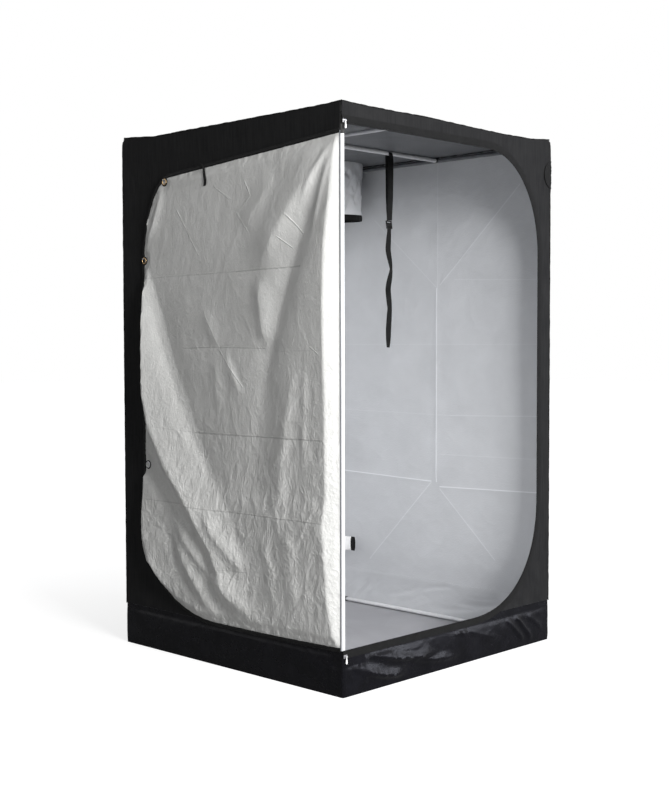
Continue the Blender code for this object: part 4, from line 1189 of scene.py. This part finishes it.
door_line = np.concatenate([door_half_line("bottom", 60), door_half_line("top", 50)[::-1]])
print("door outline:", round(float(far_along(door_line)[-1]), 2), "m")

# %% [markdown]
# At its near end the cloth comes round the post: it rises steeply from the post to a crest a few
# centimetres away, and from there it falls gently back towards the hooks. The crest stands lower
# at the top and the bottom, where the hem holds it. Below the middle ring the cloth is slack: a broad
# swell starts at that ring as a point and widens down and across towards the post.

# %% Cloth round the near post
post_crest = (
    # height, place of the crest, how far it stands off the wall
    *((0.15, -0.583, 0.005), (0.20, -0.569, 0.018), (0.33, -0.555, 0.031), (0.49, -0.547, 0.038)),
    *((0.58, -0.541, 0.042), (0.67, -0.552, 0.034), (1.00, -0.551, 0.035), (1.18, -0.547, 0.039)),
    *((1.34, -0.546, 0.040), (1.54, -0.550, 0.036), (1.74, -0.565, 0.021), (1.88, -0.580, 0.008)),
    (1.90, -0.586, 0.002),
)
slack_bay = (
    # height, foot, crest and end along the wall, how far the crest stands off
    *((0.17, -0.23, -0.1, -0.02, 0), (0.25, -0.2, -0.06, 0.01, 0.01), (0.42, -0.14, 0.02, 0.09, 0.028)),
    *((0.59, -0.05, 0.16, 0.24, 0.042), (0.72, 0.05, 0.28, 0.36, 0.048), (0.87, 0.14, 0.38, 0.45, 0.050)),
    *((1.00, 0.20, 0.42, 0.46, 0.049), (1.12, 0.27, 0.43, 0.46, 0.043), (1.30, 0.34, 0.44, 0.46, 0.032)),
    *((1.50, 0.43, 0.447, 0.46, 0.007), (1.53, 0.44, 0.45, 0.46, 0.000)),
)


def at_height(z, table):
    """What the columns of a table say at each height."""
    levels, *columns = zip(*table)
    return [np.interp(z, levels, column) for column in columns]


def slack_swell(y, z):
    """The broad slack swell below the middle ring: a long rise to a crest, then a fall to the edge."""
    foot, crest, end, high = at_height(z, slack_bay)
    rise, fall = limited((y - foot) / (crest - foot)), limited((end - y) / (end - crest))
    beyond = limited((y - end) / 0.14) * limited((0.80 - z) / 0.12)
    return high * np.where(y < crest, rise**1.2, 0.5 * fall + 0.5 * ease(fall)) + 0.018 * beyond


def post_wrap(y, z):
    """The rise from the post to the crest beside it, and the gentle fall to the middle ring."""
    crest, high = at_height(z, post_crest)
    rise = limited((y - door_start) / (crest - door_start))
    back = limited((y - crest) / (0.46 - crest))
    return np.where(y < crest, high * rise, 0.006 + (high - 0.006) * (1 - back) ** 1.1)


# %% [markdown]
# Everything else on the door is long soft folds. Each one is a ridge (or a hollow, where its height is
# negative) from a start to an end, bowed a little to one side, with its own width on either flank.
# Together they give the fan from the top of the post, the slack triangle below the middle ring and
# the diagonals down to the bottom hem.

# %% Door folds
door_folds = (
    # start (place along the wall, height), end, bow, width on the left and the right, height in mm
    # fan from the top of the post
    ((-0.575, 1.86), (-0.20, 0.92), 0.03, 0.055, 0.050, -15),
    ((-0.575, 1.87), (-0.20, 1.42), 0.04, 0.090, 0.040, 14),
    ((-0.575, 1.88), (-0.42, 1.66), 0.03, 0.010, 0.014, 5),
    ((-0.578, 1.86), (-0.48, 1.56), 0.03, 0.012, 0.014, 5),
    ((-0.12, 1.60), (-0.30, 1.80), 0.03, 0.030, 0.050, 5),
    # slack triangle in the middle
    ((0.44, 1.50), (-0.03, 0.60), 0.06, 0.030, 0.090, -8),
    ((-0.23, 1.46), (-0.27, 1.16), 0.05, 0.030, 0.060, 9),
    ((0.10, 1.33), (0.00, 1.18), 0.00, 0.025, 0.030, 4),
    ((-0.03, 1.17), (-0.13, 1.00), 0.00, 0.040, 0.012, 5),
    ((0.02, 1.15), (0.01, 0.95), 0.00, 0.030, 0.030, 4),
    # upright folds beside the post
    ((-0.26, 1.15), (-0.16, 0.60), -0.03, 0.060, 0.070, -6),
    ((-0.42, 1.16), (-0.31, 0.52), 0.03, 0.050, 0.035, 8),
    ((-0.46, 1.15), (-0.44, 0.70), 0.00, 0.020, 0.015, 3),
    ((-0.36, 0.60), (-0.40, 0.22), 0.00, 0.050, 0.030, 6),
    ((-0.24, 0.55), (-0.30, 0.20), 0.00, 0.030, 0.025, 5),
    # diagonals down to the bottom hem
    ((0.30, 0.58), (-0.24, 0.18), 0.06, 0.028, 0.055, 19),
    ((0.27, 0.48), (0.00, 0.17), 0.03, 0.025, 0.045, 17),
    ((0.35, 0.58), (0.10, 0.20), 0.05, 0.030, 0.040, -8),
    ((0.45, 0.68), (0.28, 0.20), 0.14, 0.025, 0.060, 12),
    ((0.10, 0.60), (-0.16, 0.36), 0.05, 0.025, 0.040, 10),
    ((0.08, 0.34), (-0.12, 0.38), 0.00, 0.030, 0.012, -5),
    ((-0.02, 0.26), (-0.18, 0.30), 0.00, 0.030, 0.012, -5),
    # along the hem near the upper ring
    ((0.34, 1.80), (0.455, 1.56), -0.06, 0.012, 0.020, 7),
    ((0.30, 1.80), (-0.25, 1.87), 0.00, 0.020, 0.050, 9),
)


def door_height(y, z):
    """How far the door's cloth stands off the wall; where it would go into the wall it lies on it."""
    height = post_wrap(y, z) + slack_swell(y, z)
    for *shape, rise in door_folds:
        height += soft_fold(y, z, *shape, rise / 1000)
    height = (height + np.sqrt(height**2 + 0.005**2)) / 2
    for start, end, _, strength in door_creases:
        height -= fold(y, z, start, end, 0.008, 0.012, 0.0010 * strength)
    skew_y, skew_z = y * 0.85 + z * 0.35, z * 0.75 - y * 0.3
    small = 0.0010 * layered_noise(skew_y * 2.2, skew_z, 0.05, 95, 2)
    small += 0.0020 * crinkles(skew_y * 1.6, skew_z, 0.09, 99) + 0.0010 * crinkles(y, z * 1.4, 0.045, 103)
    return height + np.clip((1.25 - z) / 0.8, 0.30, 1) * small


# %% [markdown]
# The grid of the door's cloth is finer where its end is round. The hem and the rings hold the cloth
# down, and between the hem and the open folds it puckers.

# %% Door cloth
cloth_inset, door_rows = 0.0105, 264
cloth_end = door_end - cloth_inset
finer_from = door_end - 0.06
y = steps(door_start, cloth_end, 0.0062)
finer = finer_from + (cloth_end - finer_from) * np.sin(np.pi / 2 * np.linspace(0, 1, 16))
y = np.concatenate([y[y < finer_from], finer])
low, high = door_edge_at("bottom", y, cloth_inset), door_edge_at("top", y, cloth_inset)
z = low + (high - low) * np.linspace(0, 1, door_rows)[:, None]
y = np.tile(y, (door_rows, 1))
edge_gap = np.minimum(np.minimum(z - low, high - z), cloth_end - y)
beside_bay = limited((y - 0.40) / 0.02) * limited((1.44 - z) / 0.06) * limited((z - 0.30) / 0.06)
hold = ease(edge_gap / (0.042 - 0.030 * beside_bay))
loose = 0.4 + 0.6 * limited(np.maximum((y - 0.38) / 0.03, (0.55 - z) / 0.1))
pucker = 0.0040 + 0.0045 * soft_noise(y, z, 0.018, 111) + 0.005 * crinkles(y * 1.2, z, 0.030, 113)
pucker *= loose * limited(edge_gap / 0.008) * (1 - hold)
height = np.clip(pucker + door_height(y, z) * hold, 0.0, 0.056) * limited((y - door_start) / 0.012)
ring_gap = np.min([np.hypot(y - ring_y, z - ring_z) for ring_y, ring_z in ring_places.values()], axis=0)
height *= limited((ring_gap - 0.016) / 0.03)
door_out = door_out_flat + height
door_y, door_z = y, z
points = on_side("left", y, z, door_out)
door_cover = make_sheet("door_cloth", "door", "door", points, (y, z), ["door_panel"], flip=True)
print("door cloth:", len(door_cover.data.polygons), "faces, deepest fold", round(float(height.max()), 4), "m")

# %% [markdown]
# ## The door's hem, its tape and its own teeth
# The hem is a folded black tape round the door's edge. It is drawn as a strip on the door's outline,
# with a small disc of cloth under each ring. A narrow grey strip runs down beside the near post: a
# sheet that stands for the line of shade between the post and the door, so painted shade.

# %% Door hem
hem_edge, hem_run = evenly(door_line, 0.006)
across = np.linspace(0, 0.0125, 5)[:, None]
profile = np.array([0.0, 0.0016, 0.0020, 0.0016, 0.0004])[:, None]
hem_y, hem_z = strip_along(hem_edge, across)
hem_out = hem_out_flat + profile + 0.0003 * soft_noise(hem_y, hem_z, 0.02, 121)
points, flat = on_side("left", hem_y, hem_z, hem_out), (hem_run, across)
door_hem_cover = make_sheet("door_hem_tape", "door", "tape", points, flat, ["door_hem"], 0.0018, flip=True)
door_teeth = make_teeth("zip_teeth_door", "door", "left", door_line, 0.0008, door_tooth_out)
bpy.data.objects.remove(tooth, do_unlink=True)
print("hem:", len(door_hem_cover.data.polygons), "faces, teeth:", len(door_teeth.data.polygons), "faces")


# %% Ring patches and the painted shade strip beside the post
def make_ring_patch(name, place):
    """A flat ring of cloth: a disc that is inset twice, without its middle."""
    bpy.ops.mesh.primitive_circle_add(vertices=40, radius=0.0175, fill_type="NGON", location=(0, 0, 0))
    patch = bpy.context.object
    patch.name = name
    edit_all(patch)
    bpy.ops.mesh.inset(thickness=0.0020, depth=0.0008)
    bpy.ops.mesh.inset(thickness=0.0029, depth=0.0)
    bpy.ops.mesh.delete(type="FACE")
    bpy.ops.object.mode_set(mode="OBJECT")
    turned = Matrix.Rotation(math.radians(-90), 4, "Y")
    patch.matrix_world = Matrix.Translation((-patch_out, *place)) @ turned
    bpy.ops.object.transform_apply(location=True, rotation=True, scale=True)
    patch.data.materials.append(black_webbing)
    thicken(patch, 0.0015)
    shade(patch, 40)
    return settle(patch, "door")


for name, place in ring_places.items():
    make_ring_patch(f"ring_patch_{name}", place)

# A grey strip between the post and the door's cloth: painted shade for the line of shade there.
strip_y, strip_z = np.linspace(-0.5945, -0.5895, 4), steps(0.160, 1.902, 0.02)[:, None]
lift = np.array([0.0, 0.0008, 0.0008, 0.0])
points = on_side("left", strip_y, strip_z, door_out_flat + lift)
make_sheet("door_shade_line_strip", "door", "edge", points, (strip_y, strip_z), flip=True)
print("ring patches:", len(ring_places))

# %% [markdown]
# ## Tie strap, hanger strap and buckle
# A short strap hangs from the door's top hem. Over the crossbar hangs a long loop of webbing with a
# ladder buckle and a loose tail, for a lamp. A strap is a ribbon: a row of points across that is
# carried along a line and turned with it.

# %% Ribbons
def make_ribbon(name, body, line, width_ways, width, thickness, replaced=()):
    """A flat strap whose middle follows the line, with its width along the given directions."""
    middle, at = evenly(line, 0.006)
    for _ in range(4):
        middle[1:-1] = (middle[:-2] + 2 * middle[1:-1] + middle[2:]) / 4
    turned = unit(read_off(at, far_along(line), width_ways))
    across = np.linspace(-0.5, 0.5, 6) * width
    points = np.moveaxis(middle[:, None] + turned[:, None] * across[:, None], -1, 0)
    return make_sheet(name, body, "tape", points, (across, at[:, None]), replaced, thickness)


tie_bends = (
    *((0.112, 1.860), (0.098, 1.848), (0.088, 1.832)),
    *((0.082, 1.812), (0.078, 1.792), (0.083, 1.775)),
)
tie_places = read_off(np.linspace(0, 5, 21), np.arange(6), tie_bends)
tie_line = []
for y, z in tie_places:
    beside = np.hypot(door_y - y, door_z - z) < 0.013
    tie_line.append(on_side("left", y, z, door_out[beside].max(initial=0.6045) + 0.0030))
tie_ways = [(0, 1, 0.6 - 0.04 * n) for n in range(len(tie_line))]
make_ribbon("door_tie_strap", "door", tie_line, tie_ways, 0.014, 0.0014, ["tie_strap"])
print("tie strap:", len(tie_line), "bends")

# %% Hanger strap
bar_y, bar_z, strap_x, bar_grip = -0.030, 1.9727, 0.276, 0.0095
facing = (0.80, -0.60, 0)
far_strand = (
    # place beside the strap's middle and in front of the bar's, height, direction of the width
    (0.002, -0.001, 1.70, (1, -0.5, 0)),
    (0.010, 0.012, 1.80, facing),
    (0.010, 0.013, 1.90, facing),
    (0.004, 0.011, 1.95, (1, -0.2, 0)),
)
over_bar = [
    (0, bar_grip * math.cos(angle), bar_z + bar_grip * math.sin(angle), (1, 0, 0))
    for angle in np.radians(np.linspace(0, 180, 9))
]
near_strand = (
    (0.002, -0.010, 1.95, (1, -0.2, 0)),
    (-0.004, -0.013, 1.90, facing),
    (-0.006, -0.013, 1.80, facing),
    (-0.002, -0.004, 1.70, (1, -0.5, 0)),
)
tail = (
    (0, 0, 1.690, (1, 0, 0)),
    (0, 0, 1.655, (1, 0, 0)),
    (0, 0.006, 1.58, (1, -0.8, 0)),
    (0.002, -0.010, 1.50, (1, 0.3, 0)),
    (-0.002, 0.004, 1.42, (0.6, -1, 0)),
    (0, -0.003, 1.34, (1, -0.2, 0)),
    (0.004, 0.007, 1.25, (1, -0.8, 0)),
    (-0.004, 0.002, 1.178, (1, 0.2, 0)),
)
loop = (*far_strand, *over_bar, *near_strand)
for name, bends, replaced in (("loop", loop, ["hanger_strap"]), ("tail", tail, ())):
    line = [(strap_x + beside, bar_y + before, level) for beside, before, level, _ in bends]
    ways = [way for *_, way in bends]
    strap = make_ribbon(f"hanger_strap_{name}", "hanger", line, ways, 0.022, 0.0016, replaced)
    print(strap.name, len(strap.data.polygons), "faces")


# %% Ladder buckle
def make_buckle():
    """A ladder buckle: a frame with three bars that the strap is threaded through."""
    buckle = add_block("ladder_buckle", (0.032, 0.007, 0.034))
    for level in (-0.0085, 0.0085):
        window = add_block("window", (0.025, 0.03, 0.0085), (0, 0, level))
        cut = buckle.modifiers.new("window", "BOOLEAN")
        cut.operation = "DIFFERENCE"
        cut.solver = "EXACT"
        cut.object = window
        apply_modifiers(buckle)
        bpy.data.objects.remove(window, do_unlink=True)
    rounding = buckle.modifiers.new("rounding", "BEVEL")
    rounding.width = 0.0012
    rounding.segments = 3
    apply_modifiers(buckle)
    edit_all(buckle)
    bpy.ops.transform.rotate(value=math.radians(8), orient_axis="X", center_override=(0, 0, 0))
    bpy.ops.object.mode_set(mode="OBJECT")
    buckle.location = (strap_x, bar_y, 1.682)
    bpy.ops.object.transform_apply(location=True, rotation=True, scale=True)
    buckle.data.materials.append(zip_plastic)
    shade(buckle, 40)
    return settle(buckle, "hanger", ["hanger_buckle"])


print("buckle:", len(make_buckle().data.polygons), "faces")

# %% [markdown]
# ## Sleeves
# A wide sleeve for a duct hangs from the hole in the roof. Its mouth is drawn together to a flat oval
# by a black hem. A narrow sleeve comes out of the back wall, low down, and its hem gathers its mouth
# to an upright slit.

# %% Duct sleeve
sleeve_top, sleeve_drop, sleeve_round = 1.9835, 0.2235, 0.75
hole_reach, mouth_wide, mouth_deep = 0.1235, 0.1205, 0.0695


def sleeve_oval(wide, deep, angle):
    """Places on an oval round the duct hole, whose long way is turned by 45 degrees."""
    turned = math.radians(-45)
    u, v = wide * np.cos(angle), deep * np.sin(angle)
    return (
        duct_centre[0] + u * math.cos(turned) - v * math.sin(turned),
        duct_centre[1] + u * math.sin(turned) + v * math.cos(turned),
    )


sleeve_creases = (
    # start and end: place round the sleeve, height
    ((0.10, 1.93), (0.02, 1.80)),
    ((0.05, 1.95), (0.11, 1.86)),
    ((0.02, 1.87), (0.12, 1.84)),
    ((0.09, 1.90), (0.03, 1.76)),
    ((0.16, 1.95), (0.10, 1.80)),
)
angle, down = ring_grid(121, 38)
u, v = angle / math.tau * sleeve_round, sleeve_top - down * sleeve_drop
side_x, side_y = 0.12 * np.cos(angle), np.sin(angle)
rumple = 0.006 * layered_noise(side_x, 0.12 * side_y + v * 0.8, 0.05, 141, 3) * np.sin(np.pi * down) ** 0.5
rumple += 0.004 * crinkles(side_x + 0.05 * side_y, v, 0.05, 145) * np.sin(np.pi * down)
for offset in (0.0, 0.19, 0.38, 0.56):
    for (start_u, start_v), (end_u, end_v) in sleeve_creases:
        start, end = (start_u + offset, start_v), (end_u + offset, end_v)
        rumple -= fold(u, v, start, end, 0.006, 0.014, 0.008, ends=0.15)
wide = hole_reach + (mouth_wide - hole_reach) * ease(down) + rumple
deep = hole_reach + (mouth_deep - hole_reach) * ease(down) + rumple
points, closed = (*sleeve_oval(wide, deep, angle), v), {"closed": True, "flip": True}
duct_sleeve = make_sheet("duct_sleeve_cloth", "tent", "duct", points, (u, v), ["duct_sleeve"], **closed)

angle, down = ring_grid(121, 6)
puff = 0.0012 * np.sin(angle * 34) + 0.0015 * np.sin(np.pi * down)
level = 1.7597 - 0.0247 * down
points = (*sleeve_oval(mouth_wide + puff, mouth_deep + puff, angle), level)
flat, replaced = (angle / math.tau * 0.62, level), ["duct_sleeve_hem"]
duct_hem = make_sheet("duct_sleeve_hem_tape", "tent", "tape", points, flat, replaced, 0.0026, **closed)
print("duct sleeve:", len(duct_sleeve.data.polygons) + len(duct_hem.data.polygons), "faces")


# %% Port sleeve
def port_oval(radius, angle, pinch):
    """Places on a ring of the port sleeve; the more it is pinched, the more it leans and narrows."""
    return (
        port_centre[0] + 0.042 * pinch + radius * np.cos(angle) * (1 - 0.84 * pinch),
        port_centre[1] + 0.020 * pinch + radius * np.sin(angle) * (1 - 0.22 * pinch),
    )


angle, share = ring_grid(61, 34)
y = 0.5982 - share * 0.2
rumple = layered_noise(np.cos(angle) * 0.05 + y, np.sin(angle) * 0.05, 0.04, 151, 2)
rumple *= 0.003 * np.sin(np.pi * share) ** 0.5
x, z = port_oval(0.0395 + rumple, angle, ease(share))
flat, replaced = (angle / math.tau * 0.25, y), ["port_sleeve"]
port_sleeve = make_sheet("port_sleeve_cloth", "tent", "port", (x, y, z), flat, replaced, 0.001, closed=True)

angle, share = ring_grid(61, 5)
y = 0.3985 - share * 0.0185
x, z = port_oval(0.0400 + 0.0006 * np.sin(angle * 18), angle, 1)
points, flat, replaced = (x, y, z), (angle / math.tau * 0.25, y), ["port_sleeve_hem"]
port_hem = make_sheet("port_sleeve_hem_tape", "tent", "tape", points, flat, replaced, 0.0024, closed=True)
print("port sleeve:", len(port_sleeve.data.polygons) + len(port_hem.data.polygons), "faces")
